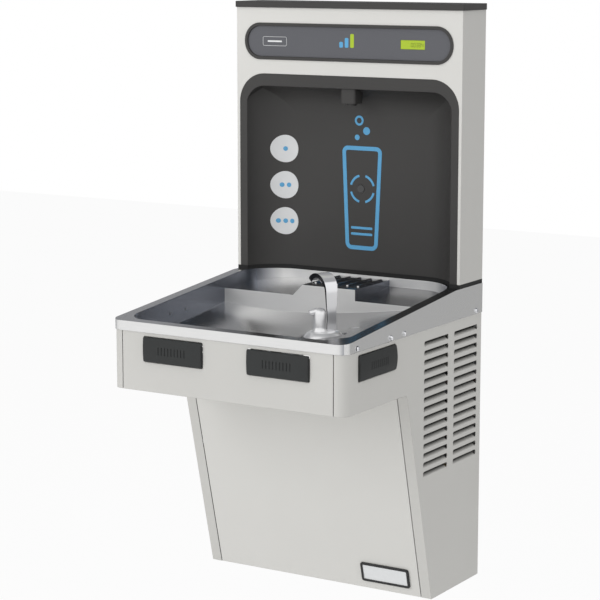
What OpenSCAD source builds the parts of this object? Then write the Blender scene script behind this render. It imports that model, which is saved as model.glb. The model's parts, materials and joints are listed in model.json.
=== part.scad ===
// Wall-mounted bottle filling station: a refrigerated basin cabinet under a filling tower
// +Z up, -Y towards the user, wall plane at y = 0, millimetres
// Origin: centre of the wall hanger's four bolts, on the wall plane

/* [Cabinet] */
// Width over the basin's skirt
cabinet_w = 457; // [440:1:480]
// Depth from the wall to the apron's front face
cabinet_d = 471.5; // [455:0.5:490]
// Thickness of the cabinet's sheet metal
sheet = 1.5; // [1.2:0.1:2]
// Height of the apron's bottom edge
apron_low = 377; // [368:1:386]
// Radius of the apron's vertical front corners
apron_r = 18; // [12:1:24]
// Depth where the sloping front meets the apron, as a share of the cabinet's depth
slope_top_share = 0.5705; // [0.56:0.0005:0.58]
// Depth at the sloping front's foot, as a share of the cabinet's depth
foot_share = 0.371; // [0.36:0.001:0.385]
// Width of the side panels' flanges on the front
flange_w = 20; // [16:1:24]
// Distance from the side to the seam on the apron's front
apron_seam = 23; // [20:1:26]
// Gap at the seams between the panels
seam_gap = 1.5; // [1:0.1:2]
// Radius where the apron's underside meets the sloping front
fillet_r = 10; // [6:1:14]

/* [Louvres] */
// Number of rows
louvre_rows = 15; // [10:1:15]
// Height of one opening
louvre_h = 9; // [7:0.5:10]
// Distance from row to row
louvre_pitch = 16.06; // [15:0.01:17]
// Height of the lowest opening's bottom
louvre_low = 223.7; // [216:0.1:228]
// Width of one opening, as a share of the cabinet's depth
louvre_share = 0.1845; // [0.17:0.0005:0.195]
// Distance from the wall to the first column
louvre_back = 15; // [12:1:20]
// Gap between the two columns
louvre_gap = 21; // [18:1:26]
// How far a blade leans into the cabinet
louvre_depth = 8; // [5:0.5:9]

/* [Basin] */
// Thickness of the stamped basin
basin_t = 1.5; // [1:0.1:2]
// Height of the rim at the front
rim_front_z = 493.5; // [490:0.5:497]
// Height of the rear deck
deck_z = 529; // [526:0.5:532]
// Distance from the wall to where the sloping rim meets the deck
deck_d = 100; // [95:1:105]
// Width of the side rims
rim_side_w = 19.5; // [17:0.5:22]
// Width of the front rim
rim_front_w = 16.5; // [14:0.5:19]
// Radius of the bowl's front corners
bowl_r = 35; // [28:1:42]
// Height of the skirt's lower edge
skirt_low = 477; // [475:0.5:479]
// Distance from the cabinet's left side to the drain
drain_side = 133.5; // [124:0.5:143]
// Distance from the cabinet's front to the drain
drain_front = 136.5; // [130:0.5:143]
// Height of the bowl's lowest point
bowl_low = 441; // [438:0.5:444]
// Rise of the bowl's floor per unit of distance from the drain
bowl_rise_share = 0.18; // [0.16:0.005:0.19]
// Distance from the wall to the shelf's front face
shelf_d = 158; // [152:1:164]
// Height of the shelf's front edge
shelf_z = 504; // [501:0.5:506]
// Rise of the shelf from its front edge to its back
shelf_rise = 9; // [6:0.5:11]

/* [Drain board] */
// Height of the drain board's top
board_z = 524.5; // [521:0.5:526]
// Left edge of its top
board_left = 44; // [40:1:50]
// Right edge of its top
board_right = 62; // [58:1:66]
// Number of ribs on it
rib_count = 5; // [3:1:5]
// Distance from rib to rib
rib_pitch = 21.5; // [19:0.5:22]
// Radius of a rib
rib_r = 3; // [2:0.25:3.5]

/* [Tower] */
// Step from the cabinet's side in to the tower's
tower_step = 1; // [0.5:0.25:6]
// Depth of the tower
tower_d = 85.3; // [82:0.1:90]
// Height of the tower's lower edge
tower_low = 536; // [534:0.5:538]
// Height of the tower's upper edge
tower_top = 1003; // [995:1:1015]
// Thickness of the tower's sheet metal
tower_t = 1.5; // [1.2:0.1:2]
// Height of the top cap
cap_h = 10.6; // [8:0.1:14]
// Overhang of the top cap
cap_over = 2.5; // [1:0.5:4]

/* [Alcove] */
// Width of the tower's front beside the opening
alcove_side = 5.5; // [5.5:0.5:10]
// Height of the opening's top
alcove_top = 886; // [880:1:892]
// Radius of the opening's top corners
alcove_r = 52; // [44:1:56]
// Width of the liner's lip at the sides
lip_side = 13; // [11:0.5:15]
// Width of the liner's lip at the top
lip_top = 22; // [18:0.5:24]
// Distance from the wall to the liner's back face
pocket_back = 32; // [30:0.5:36]
// Radius of the pocket's back corners
pocket_r = 80; // [70:1:90]
// Radius of the cove under the pocket's top
cove_r = 50; // [40:1:52]
// Thickness of the liner
liner_t = 2; // [1.5:0.1:2.5]

/* [Fascia] */
// Width of the tower's front beside the fascia
fascia_side = 17.5; // [14:0.5:28]
// Height of the fascia
fascia_h = 65; // [58:1:68]
// Height of the fascia's centre
fascia_z = 943.5; // [940:0.5:948]
// Width of the bezel's ring
bezel_ring = 5.5; // [4:0.5:7]
// How far the bezel stands out
bezel_out = 1.5; // [1:0.1:2.5]
// Width of the display window
window_w = 47; // [40:1:54]
// Height of the display window
window_h = 15.5; // [12:0.5:18]
// Distance from the fascia's end to the display window's centre
window_end = 79.3; // [76:0.1:86]

/* [Push pads] */
// Width of a front pad
pad_w = 117; // [108:1:124]
// Height of a pad
pad_h = 42; // [38:0.5:44]
// Height of the pads' centre
pad_z = 449; // [447:0.5:451]
// Distance from the cabinet's side to a front pad's centre
pad_side = 126; // [122:0.5:130]
// How far a pad stands out
pad_out = 5.5; // [4:0.1:7]
// Length of a side pad
side_pad_w = 120; // [110:1:126]
// Distance from the cabinet's front to a side pad's centre
side_pad_front = 101.5; // [97:0.5:106]

/* [Bubbler] */
// Distance from the cabinet's side to the bubbler
bubbler_side = 105.5; // [100:0.5:110]
// Distance from the cabinet's front to the bubbler
bubbler_front = 107.5; // [103:0.5:113]
// Diameter of the escutcheon's top
escutcheon_top = 50; // [46:1:54]
// Diameter of the escutcheon's foot
escutcheon_foot = 67; // [60:1:70]
// Height of the escutcheon
escutcheon_h = 10; // [8:0.5:12]
// Diameter of the body
bubbler_body_d = 21; // [18:0.5:24]
// Height of the body
bubbler_body_h = 30; // [26:1:34]
// Height of the hood over the escutcheon
hood_h = 92; // [86:1:98]
// Width of the hood's strip
hood_w = 24; // [20:1:28]

/* [Wall hanger] */
// Height of the bolt pattern's centre over the cabinet's bottom
hanger_z = 430; // [424:1:436]
// Spacing of the bolts across
bolt_x = 254; // [240:1:270]
// Spacing of the bolts up and down
bolt_z = 50; // [44:1:56]
// Diameter of the bolt holes
bolt_hole = 8; // [6:0.5:9]

/* [Cooling unit] */
// Diameter of the compressor, as a share of the cabinet's width
compressor_share = 0.2976; // [0.26:0.0004:0.305]
// Height of the compressor
compressor_h = 166; // [150:1:172]
// Diameter of the cold tank, as a share of the cabinet's width
tank_share = 0.2712; // [0.254:0.0004:0.275]
// Height of the cold tank
tank_h = 215; // [200:1:220]
// Diameter of the fan
fan_d = 136; // [120:1:140]
// Number of fan blades
fan_blades = 5; // [3:1:7]
// Number of condenser fins
fin_count = 15; // [9:1:17]

/* [Plumbing] */
// Outer diameter of the water inlet tube
inlet_d = 9.52; // [8:0.01:12]
// Outer diameter of the drain tube
trap_d = 31.75; // [30:0.01:34]
// Height of the drain outlet
drain_out_z = 345; // [338:1:350]
// Height of the water inlet
inlet_z = 120; // [114:1:126]

/* [Hidden] */

$fn = 64;
// Overrun of every cut
over = 2;
// Gap between parts that nearly touch
clear = 0.3;
// Running clearance of a pin in its hole
run_clear = 0.05;

// Cabinet
half_w = cabinet_w / 2;
side_x = half_w - basin_t;
slope_top_d = round(cabinet_d * slope_top_share);
foot_d = round(cabinet_d * foot_share);
pad_x = half_w - pad_side;
side_pad_d = cabinet_d - side_pad_front;
bubbler_x = half_w - bubbler_side;
bubbler_d = cabinet_d - bubbler_front;
panel_lap = 12;
panel_top = skirt_low + panel_lap;
seam_x = cabinet_w / 2 - apron_seam;
slope_seam_x = side_x - flange_w;
slope_angle = atan((slope_top_d - foot_d) / apron_low);
slope_t = sheet / cos(slope_angle);
panel_return = 14;
pan_flange = 14;
window_share = 0.62;
frame_window_low = 60;
shelf_room = 14;
shelf_margin = 5;
shelf_brace = 60;
shelf_brace_x = 45;

// Wall hanger
hanger_w = 300;
hanger_h = 80;
hanger_t = 2.5;
hook_d = 8;
hook_nose = 4;
hook_room = 4;
hook_web_z = hanger_z + hanger_h / 2 + 4 * hook_room;

// Nameplate
plate_w = 95;
plate_h = 36;
plate_side = 88;
plate_x = half_w - plate_side;
plate_z = 32;
plate_t = 3;
plate_r = 4;
plate_edge = 4;
plate_sunk = 1;

// Louvres
louvre_w = round(cabinet_d * louvre_share);
blade_lean = 2.5;
louvre_r = 3.5;

// Basin
drain_x = drain_side - half_w;
drain_d = cabinet_d - drain_front;
board_bevel = 45;
rib_x = 10.75;
rib_front_d = 132;
rib_back_d = 52;
bowl_hw = cabinet_w / 2 - rim_side_w;
bowl_front_d = cabinet_d + basin_t - rim_front_w;
deck_front_d = cabinet_d + basin_t;
deck_r = apron_r + basin_t;
bowl_back = pocket_back + 4;
shelf_run = shelf_d - bowl_back;
shelf_r = (shelf_run * shelf_run + shelf_rise * shelf_rise) / (2 * shelf_rise);
seat_z = 480;
seat_r = escutcheon_foot / 2 + 5;
boss_foot_r = seat_r + 10;
boss_h = 16;
shank_d = 20;
drain_hole_d = 62;
wall = 2;
strainer_z = bowl_low + 4;
strainer_t = 2;
strainer_d = drain_hole_d - 2 * clear;
strainer_hole = 5;
cup_h = 22;
elbow_z = 398;
slot_w = 14;
slot_h = 14;
slot_lip = 0.8;
slot_spout = 20;
slot_tube_r = 5;
slot_tube_wall = 1.2;
slot_front_d = 64;
slot_back_d = 50;

// Basin screws
screw_z = 483;
screw_d = 9.5;
screw_h = 3;
screw_shank = 4;
screw_len = 6;
dome_r = (screw_d * screw_d / 4 + screw_h * screw_h) / (2 * screw_h);
screw_front = 36.5;
screw_pad_back = 42;
screw_gap = 47;
screw_back_share = 0.13;
screw_depths = [cabinet_d - screw_front, side_pad_d - screw_pad_back,
    side_pad_d - screw_pad_back - screw_gap, foot_d * screw_back_share];

// Tower
tower_w = cabinet_w - 2 * tower_step;
alcove_w = tower_w - 2 * alcove_side;
fascia_w = tower_w - 2 * fascia_side;
window_x = fascia_w / 2 - window_end;
gasket_w = 8;
tower_hole = 7;
tower_bolt_x = 300;
tower_bolt_z = tower_top - 40;
fascia_t = 2;
fascia_recess = 1;
window_t = 2.5;
window_sunk = 0.6;
bezel_lap = 2;
stadium_flat = 0.5;
lip_sunk = 0.5;
pocket_bulge = 3;
lens_z = 683.5;
lens_r = 7;
lens_out = 0.8;
lens_in = 8;
nozzle_w = 30;
nozzle_d = 30;
nozzle_r = 5;
nozzle_depth = 66;
nozzle_low = 838;
neck_r = 9;
neck_top = 868;
tip_len = 4;
solenoid_w = 32;
solenoid_h = 16;
solenoid_z = 890;
solenoid_depth = 50;
solenoid_coil_r = 14;
solenoid_coil_h = 42;
control_side = 57.5;
control_x = control_side - tower_w / 2;
control_z = 700;
control_size = [110, 26, 120];
riser_shift = 30;
riser_depth = 17;
riser_turn_z = 438;

// Bubbler
escutcheon_edge = 2;
body_shift = 7.3;
shank_len = 26;
spout_tilt = -80;
spout_len = 17;
spout_r = 5;
spout_wall = 1.2;
hood_back = 20;
hood_bend = 28;
hood_rise = hood_h - hood_bend;
hood_sweep = 155;
hood_steps = 24;
hood_t = 2.5;
hood_foot_w = 12;
hood_reach = 60;
nut_h = 8;
nut_r = 17;

// Linkage
pad_clear = 1;
pad_r = 3;
pad_crown = 2;
pad_edge = 12;
pad_groove = 1.2;
pad_groove_w = 3;
pad_groove_pitch = 7;
stud_in = 2.5;
stud_x = pad_x - stud_in;
collar_w = 2;
collar_r = 6;
bar_t = 3;
bar_h = 20;
bar_z = 443;
pad_flange = 3;
pad_t = 3;
shaft_d = 8;
shaft_front = 31.5;
shaft_depth = cabinet_d - shaft_front;
shaft_z = 415;
shaft_end = 34.5;
shaft_len = cabinet_w - 2 * shaft_end;
rail_z = 386;
rail_t = 2;
rail_front = 18.5;
rail_back = 93.5;
rail_front_d = cabinet_d - rail_front;
rail_back_d = cabinet_d - rail_back;
rail_flange_h = 34;
ear_side = 40.5;
ear_x = half_w - ear_side;
ear_t = 3;
ear_w = 20;
arm_t = 6;
arm_w = 8;
arm_top = bar_z + 4;
stud_d = 5;
stem_z = 433;
stem_gap = 0.4;
spring_plate_front = 19.5;
spring_plate_d = cabinet_d - spring_plate_front;
spring_plate_w = 26;
spring_plate_top = 452;
spring_r = 6;
spring_wire = 1.2;
spring_turns = 3;
coil_steps = 24;
coil_sides = 6;
end_arm_side = 50.5;
end_arm_x = half_w - end_arm_side;
end_arm_low = 389.5;
crank_side = 32.5;
crank_front = 76.5;
crank_x = half_w - crank_side;
crank_d = cabinet_d - crank_front;
crank_z = 391;
crank_t = 3;
crank_pin_d = 6;
crank_boss_r = 7;
crank_arm = 30;
crank_edge = 4;
finger_out = 20;
finger_w = 8;
finger_gap = 4;
leg_d = 6;
leg_x = crank_x + crank_edge + clear + leg_d / 2;

// Valve
valve_x = bubbler_x;
valve_d = 34;
valve_start = 47.5;
valve_end = 86.5;
valve_front = cabinet_d - valve_start;
valve_back = cabinet_d - valve_end;
valve_plate_t = 3;
valve_plate_w = 40;
stem_d = 5;
stem_bore = 24;
stem_room = 10;
port_len = 6;
port_r = 6;
port_front = 66.5;
port_depth = cabinet_d - port_front;

// Plumbing and cooling unit
tube_z = 440;
inlet_side = 58.5;
inlet_x = half_w - inlet_side;
inlet_depth = 45;
inlet_pin = 30;
collar_len = 4;
inlet_collar_r = 8;
strainer_rise = 18;
filter_h = 64;
filter_r = 16;
saddle_w = 20;
saddle_h = 20;
feed_z = 209;
tank_round = 20;
thermostat_size = [28, 36, 50];
thermostat_z = 300;
compressor_round = 30;
foot_waist_share = 0.7;
gas_z = 120;
gas_up_d = 30;
capillary_z = 228;
capillary_r = 1.5;
suction_shift = 27;
suction_z = 244;
junction_x = 40;
junction_back = 10;
junction_size = [80, 65, 60];
gland_h = 10;
gland_r = 8;
tube_r = 4;
gas_r = 3.2;
trap_x = drain_x;
trap_down_share = 0.456;
trap_down_d = round(cabinet_d * trap_down_share);
outlet_pin = 88;
outlet_collar_r = 19;
trap_bend = 30;
trap_low = 300;
tailpiece_low = elbow_z + trap_d / 2 + clear;
tank_d = round(cabinet_w * tank_share);
tank_x = 16;
feed_gap = 16;
feed_x = tank_x + tank_d / 2 + feed_gap;
tank_depth_share = 0.2375;
tank_depth = round(cabinet_d * tank_depth_share);
shelf_plate_z = 200;
shelf_plate_t = 2;
tank_z = shelf_plate_z + shelf_plate_t;
compressor_d = round(cabinet_w * compressor_share);
compressor_x_share = 0.245;
compressor_x = -round(cabinet_w * compressor_x_share);
compressor_depth_share = 0.195;
compressor_depth = round(cabinet_d * compressor_depth_share);
foot_h = 18;
foot_r = 11;
base_plate_t = 2;
base_margin = 6;
base_w = compressor_d + 2 * base_margin;
base_d = 122;
foot_x = 58;
foot_y = 46;
compressor_z = sheet + foot_h;
coil_side = 44.5;
coil_x = half_w - coil_side;
coil_t = 24;
coil_front_share = 0.435;
coil_front = round(cabinet_d * coil_front_share);
coil_back = 25;
coil_low = 215;
coil_top = 371;
coil_rows = 5;
coil_r = 4;
fin_t = 1;
fan_depth = (coil_front + coil_back) / 2;
fan_z = (coil_low + coil_top) / 2;
shroud_x = coil_x - coil_t / 2 - 4;
shroud_t = 2;
shroud_ring = 24;
shroud_foot_h = 60;
fan_gap = 5;
hub_r = 18;
hub_w = 16;
blade_w = 34;
blade_t = 2;
blade_pitch = 28;
motor_d = 66;
motor_len = 36;
fan_shaft_d = 6;
fan_room = 1;
strut_w = 8;
strut_t = 3;
strut_foot = 5;
drier_gap = 11;
drier_depth = coil_front + drier_gap;
drier_low = 245;
drier_top = 309;
drier_r = 9;

module box_between(x, y, z) {
    translate([x[0], y[0], z[0]]) cube([x[1] - x[0], y[1] - y[0], z[1] - z[0]]);
}
module along_x(a, b) { translate([a, 0, 0]) rotate([90, 0, 90]) linear_extrude(b - a) children(); }
module along_y(a, b) { translate([0, b, 0]) rotate([90, 0, 0]) linear_extrude(b - a) children(); }
module along_z(a, b) { translate([0, 0, a]) linear_extrude(b - a) children(); }
module rod_x(a, b, y, z, r) { translate([a, y, z]) rotate([0, 90, 0]) cylinder(h = b - a, r = r); }
module rod_y(a, b, x, z, r) { translate([x, b, z]) rotate([90, 0, 0]) cylinder(h = b - a, r = r); }
module rod_z(a, b, x, y, r) { translate([x, y, a]) cylinder(h = b - a, r = r); }
module mirrored() { mirror([1, 0, 0]) children(); }
module both_sides() { children(); mirrored() children(); }

// Rectangle from corner to corner with rounded corners
module rounded(x, y, r) {
    translate([x[0] + r, y[0]]) square([x[1] - x[0] - 2 * r, y[1] - y[0]]);
    translate([x[0], y[0] + r]) square([x[1] - x[0], y[1] - y[0] - 2 * r]);
    for (cx = [x[0] + r, x[1] - r], cy = [y[0] + r, y[1] - r]) translate([cx, cy]) circle(r);
}

// Pipe through a list of points, with ball corners
module pipe(points, r) {
    for (i = [1 : len(points) - 1]) {
        v = points[i] - points[i - 1];
        translate(points[i - 1]) rotate([0, acos(v.z / norm(v)), atan2(v.y, v.x)])
            cylinder(h = norm(v), r = r);
        if (i < len(points) - 1) translate(points[i]) sphere(r);
    }
}

// Plan with round back corners and its own radius at the front corners
module bowl_plan(hw, front, back, front_r, back_r) {
    translate([-hw, -front + front_r]) square([2 * hw, front - front_r - back - back_r]);
    translate([-hw + front_r, -front]) square([2 * (hw - front_r), front - back - back_r]);
    translate([-hw + back_r, -front + front_r]) square([2 * (hw - back_r), front - front_r - back]);
    for (s = [-1, 1]) {
        translate([s * (hw - front_r), -front + front_r]) circle(front_r);
        translate([s * (hw - back_r), -back - back_r]) circle(back_r);
    }
}

// Everything above is in the cabinet's own heights; the origin lies at the hanger's bolts
module from_bottom() { translate([0, 0, -hanger_z]) children(); }

function slope_y(z) = -(foot_d + (slope_top_d - foot_d) * z / apron_low);
module slope_strip(z0, z1, d0, d1) {
    polygon([[slope_y(z0) + d0, z0], [slope_y(z1) + d0, z1], [slope_y(z1) + d1, z1],
        [slope_y(z0) + d1, z0]]);
}
module on_slope(x, z) {
    translate([x, slope_y(z), z]) rotate([90 + slope_angle, 0, 0]) children();
}

// Wall hanger and frame
module bolt_holes(x, z, r, d) {
    for (sx = [-1, 1], sz = [-1, 1])
        rod_y(-d - over, over, sx * x / 2, hanger_z + sz * z / 2, r);
}
module wall_hanger() color("silver") from_bottom() {
    top = hanger_z + hanger_h / 2;
    difference() {
        union() {
            box_between([-hanger_w / 2, hanger_w / 2], [-hanger_t, 0], [top - hanger_h, top]);
            box_between([-hanger_w / 2, hanger_w / 2], [-hook_d, 0], [top - hanger_t, top]);
            box_between([-hanger_w / 2, hanger_w / 2], [-hook_d, -hook_d + hanger_t],
                [top - hanger_t, hook_web_z - clear]);
        }
        bolt_holes(bolt_x, bolt_z, bolt_hole / 2, hanger_t);
    }
}
module back_frame() color("gainsboro") from_bottom() {
    hw = side_x - sheet - clear;
    hook_back = -hook_d + hanger_t + clear;
    difference() {
        box_between([-hw, hw], [-sheet, 0], [sheet, deck_z - basin_t - clear]);
        box_between([-hanger_w / 2, hanger_w / 2] + [-hook_room, hook_room], [-sheet - over, over],
            [hanger_z - hanger_h / 2 - hook_room, hook_web_z]);
        along_y(-sheet - over, over) {
            rounded([-hw * window_share, hw * window_share],
                [shelf_plate_z + shelf_room, hanger_z - hanger_h / 2 - hook_room - shelf_room],
                shelf_room / 2);
            rounded([-hw * window_share, hw * window_share],
                [frame_window_low, shelf_plate_z - shelf_room], shelf_room / 2);
        }
        rod_y(-sheet - over, over, inlet_x, inlet_z, inlet_d);
    }
    box_between([-hanger_w / 2, hanger_w / 2], [-hook_d - hook_nose, 0],
        [hook_web_z, hook_web_z + sheet]);
    box_between([-hanger_w / 2, hanger_w / 2], [hook_back, hook_back + sheet],
        [hanger_z + hanger_h / 2 + hook_room, hook_web_z + sheet]);
    box_between([tank_x - tank_d / 2 - shelf_margin, tank_x + tank_d / 2 + shelf_margin],
        [-tank_depth - tank_d / 2 - shelf_margin, 0], [shelf_plate_z, tank_z]);
    for (sx = [-1, 1])
        along_x(tank_x + sx * shelf_brace_x - sheet / 2, tank_x + sx * shelf_brace_x + sheet / 2)
            polygon([[0, shelf_plate_z], [-tank_depth - tank_d / 2, shelf_plate_z],
                [0, shelf_plate_z - shelf_brace]]);
    difference() {
        box_between([inlet_x - saddle_w / 2, inlet_x + saddle_w / 2], [-inlet_depth, 0],
            [inlet_z + strainer_rise + saddle_h, inlet_z + strainer_rise + 2 * saddle_h]);
        rod_z(inlet_z, feed_z, inlet_x, -inlet_depth, filter_r);
    }
}
module bottom_pan() color("gainsboro") from_bottom() {
    hw = side_x - sheet - clear;
    front = foot_d - slope_t - clear;
    box_between([-hw, hw], [-front, 0], [0, sheet]);
    box_between([-hw, hw], [-front, -front + sheet], [0, pan_flange]);
    for (s = [-1, 1]) box_between([s * hw - sheet * (1 + s) / 2, s * hw + sheet * (1 - s) / 2],
        [-front, -sheet - clear], [0, pan_flange]);
}

// Side panels with their louvres
module side_outline() {
    tangent_z = apron_low - fillet_r + fillet_r * sin(slope_angle);
    round_at = [slope_y(tangent_z) - fillet_r * cos(slope_angle), apron_low - fillet_r];
    polygon([[-cabinet_d + apron_r, apron_low], [-slope_top_d, apron_low], [-foot_d, 0], [0, 0],
        [0, panel_top], [-cabinet_d + apron_r, panel_top]]);
    difference() {
        polygon([[round_at.x, apron_low], [-slope_top_d + sheet, apron_low + sheet],
            [slope_y(tangent_z), tangent_z], round_at]);
        translate(round_at) circle(fillet_r);
    }
}
module louvre_places() {
    for (column = [0, 1], row = [0 : louvre_rows - 1])
        translate([-louvre_back - louvre_w - column * (louvre_w + louvre_gap),
            louvre_low + row * louvre_pitch]) children();
}
module louvre_blade() {
    polygon([[side_x, 0], [side_x - louvre_depth, louvre_h - blade_lean],
        [side_x - louvre_depth - sheet, louvre_h - blade_lean], [side_x - sheet, 0],
        [side_x - sheet, -sheet / 2], [side_x, -sheet / 2]]);
}
module side_panel() {
    along_x(side_x - sheet, side_x) difference() {
        side_outline();
        louvre_places() rounded([0, louvre_w], [0, louvre_h], louvre_r);
        rounded([-side_pad_d - side_pad_w / 2 - pad_clear, -side_pad_d + side_pad_w / 2 + pad_clear],
            [pad_z - pad_h / 2 - pad_clear, pad_z + pad_h / 2 + pad_clear], pad_r);
        for (d = screw_depths) translate([-d, screw_z]) circle(screw_shank / 2 + run_clear);
    }
    for (column = [0, 1], row = [0 : louvre_rows - 1]) {
        back = louvre_back + column * (louvre_w + louvre_gap) + louvre_r;
        translate([0, 0, louvre_low + row * louvre_pitch])
            along_y(-back - louvre_w + 2 * louvre_r, -back) louvre_blade();
    }
    along_z(apron_low, panel_top) intersection() {
        translate([side_x - apron_r, -cabinet_d]) square(apron_r);
        translate([side_x - apron_r, -cabinet_d + apron_r]) difference() {
            circle(apron_r);
            circle(apron_r - sheet);
        }
    }
    box_between([seam_x + seam_gap / 2, side_x - apron_r], [-cabinet_d, -cabinet_d + sheet],
        [apron_low, panel_top]);
    along_x(slope_seam_x + seam_gap / 2, side_x) slope_strip(0, apron_low, 0, slope_t);
}
module side_panel_right() color("gainsboro") from_bottom() side_panel();
module side_panel_left() color("gainsboro") from_bottom() mirrored() side_panel();

module apron_panel() color("gainsboro") from_bottom() {
    floor_hw = side_x - sheet - clear;
    difference() {
        box_between([-seam_x + seam_gap / 2, seam_x - seam_gap / 2], [-cabinet_d, -cabinet_d + sheet],
            [apron_low, panel_top]);
        both_sides() along_y(-cabinet_d - over, -cabinet_d + sheet + over)
            rounded([pad_x - pad_w / 2 - pad_clear, pad_x + pad_w / 2 + pad_clear],
                [pad_z - pad_h / 2 - pad_clear, pad_z + pad_h / 2 + pad_clear], pad_r);
    }
    along_z(apron_low, apron_low + sheet) bowl_plan(floor_hw, cabinet_d - sheet,
        slope_top_d - slope_t - clear, apron_r - sheet, pad_r);
}
module lower_front_panel() color("gainsboro") from_bottom() {
    hw = slope_seam_x - seam_gap / 2;
    along_x(-hw, hw) slope_strip(clear, apron_low - clear, 0, slope_t);
    for (s = [-1, 1]) along_x(s * hw - sheet * (1 + s) / 2, s * hw + sheet * (1 - s) / 2)
        slope_strip(pan_flange + clear, apron_low - clear, 0, panel_return);
}

// Nameplate, bare
module nameplate_frame() color("dimgray") from_bottom() on_slope(plate_x, plate_z)
    linear_extrude(plate_t) difference() {
        rounded([-plate_w / 2, plate_w / 2], [-plate_h / 2, plate_h / 2], plate_r);
        rounded([-plate_w / 2 + plate_edge, plate_w / 2 - plate_edge],
            [-plate_h / 2 + plate_edge, plate_h / 2 - plate_edge], plate_r - plate_edge / 2);
    }
module nameplate_plate() color("white") from_bottom() on_slope(plate_x, plate_z)
    linear_extrude(plate_t - plate_sunk)
        rounded([-plate_w / 2 + plate_edge, plate_w / 2 - plate_edge],
            [-plate_h / 2 + plate_edge, plate_h / 2 - plate_edge], plate_r - plate_edge / 2);

// Basin: g is the distance that a surface lies under the visible one
module deck_body(g, low) {
    hw = cabinet_w / 2 - g;
    front = deck_front_d - g;
    r = deck_r - g;
    back = g > 0 ? over : 0;
    rise = (deck_z - rim_front_z) / (deck_front_d - deck_d);
    intersection() {
        along_z(low, deck_z) {
            translate([-hw, -front + r]) square([2 * hw, front - r + back]);
            translate([-hw + r, -front]) square([2 * (hw - r), r + basin_t]);
            for (s = [-1, 1]) translate([s * (hw - r), -front + r]) circle(r);
        }
        along_x(-cabinet_w, cabinet_w) polygon([[-deck_front_d - over, low], [back, low],
            [back, deck_z - g], [-deck_d, deck_z - g],
            [-deck_front_d - over, rim_front_z - over * rise - g]]);
    }
}
module board_body(g) {
    foot = bowl_low;
    left = -board_left + g * tan(board_bevel / 2);
    along_y(-shelf_d + g, 0) polygon([[left - (board_z - g - foot) / tan(board_bevel), foot],
        [left, board_z - g], [board_right - g, board_z - g], [board_right - g, foot]]);
}
module bowl_space(g) {
    high = deck_z + over;
    difference() {
        intersection() {
            along_z(bowl_low - 2 * basin_t, high)
                bowl_plan(bowl_hw + g, bowl_front_d + g, bowl_back - g, bowl_r + g, pocket_r + g);
            union() {
                intersection() {
                    translate([drain_x, -drain_d, bowl_low - g / cos(atan(bowl_rise_share))])
                        rotate_extrude($fn = 256) polygon([[0, 0], [cabinet_d, cabinet_d * bowl_rise_share],
                            [cabinet_d, high], [0, high]]);
                    box_between([-cabinet_w, cabinet_w], [-cabinet_d - over, -shelf_d + g],
                        [bowl_low - 2 * basin_t, high]);
                }
                along_x(-cabinet_w, cabinet_w) intersection() {
                    translate([-shelf_d, shelf_z + shelf_r]) circle(shelf_r + g, $fn = 1080);
                    translate([-shelf_d - over, shelf_z - g])
                        square([shelf_d + over, high - shelf_z + g]);
                }
                translate([bubbler_x, -bubbler_d, seat_z - g]) cylinder(h = high - seat_z, r = seat_r + g);
            }
        }
        board_body(g);
        translate([bubbler_x, -bubbler_d, seat_z - g - boss_h])
            cylinder(h = boss_h, r1 = boss_foot_r - g, r2 = seat_r - g);
    }
}
module basin() color("lightgray") from_bottom() {
    difference() {
        union() {
            difference() {
                deck_body(0, skirt_low);
                deck_body(basin_t, skirt_low - over);
            }
            intersection() {
                deck_body(0, bowl_low - 2 * basin_t);
                bowl_space(basin_t);
            }
        }
        bowl_space(0);
        rod_z(bowl_low - over - basin_t, deck_z, drain_x, -drain_d, drain_hole_d / 2);
        rod_z(bowl_low, deck_z, bubbler_x, -bubbler_d, shank_d / 2 + clear);
        rod_z(shelf_z, deck_z + over, tank_x + riser_shift, -riser_depth, tube_r + clear);
        box_between([-slot_w / 2, slot_w / 2], [-slot_front_d, -slot_back_d], [shelf_z, deck_z]);
        for (d = screw_depths) rod_x(-cabinet_w, cabinet_w, -d, screw_z, screw_shank / 2 + run_clear);
    }
    for (i = [0 : rib_count - 1]) {
        x = rib_x + (i - (rib_count - 1) / 2) * rib_pitch;
        intersection() {
            union() {
                rod_y(-rib_front_d, -rib_back_d, x, board_z, rib_r);
                for (d = [rib_front_d, rib_back_d]) translate([x, -d, board_z]) sphere(rib_r);
            }
            box_between([-cabinet_w, cabinet_w], [-shelf_d, 0], [board_z - basin_t / 2, deck_z]);
        }
    }
}
module basin_screws() color("silver") from_bottom() both_sides() for (d = screw_depths)
    translate([cabinet_w / 2, -d, screw_z]) rotate([0, 90, 0]) {
        intersection() {
            translate([0, 0, screw_h - dome_r]) sphere(dome_r);
            cylinder(h = screw_h, r = screw_d / 2);
        }
        translate([0, 0, -screw_len]) cylinder(h = screw_len, r = screw_shank / 2);
    }

// Drain
module drain_strainer() color("silver") from_bottom() translate([drain_x, -drain_d, strainer_z])
    difference() {
        cylinder(h = strainer_t, r = strainer_d / 2);
        for (ring = [1, 2], i = [0 : 6 * ring - 1])
            rotate([0, 0, i * 60 / ring]) translate([ring * strainer_d / 6, 0, -over])
                cylinder(h = strainer_t + 2 * over, r = strainer_hole / 2, $fn = 24);
    }
module drain_body() color("dimgray") from_bottom() translate([drain_x, -drain_d, 0]) difference() {
    union() {
        translate([0, 0, strainer_z - cup_h]) cylinder(h = cup_h, r = drain_hole_d / 2 - clear);
        translate([0, 0, tailpiece_low])
            cylinder(h = strainer_z - tailpiece_low, r = trap_d / 2);
    }
    translate([0, 0, strainer_z - cup_h + wall]) cylinder(h = cup_h, r = drain_hole_d / 2 - clear - wall);
    translate([0, 0, tailpiece_low - over])
        cylinder(h = strainer_z - tailpiece_low, r = trap_d / 2 - wall);
}
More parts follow.
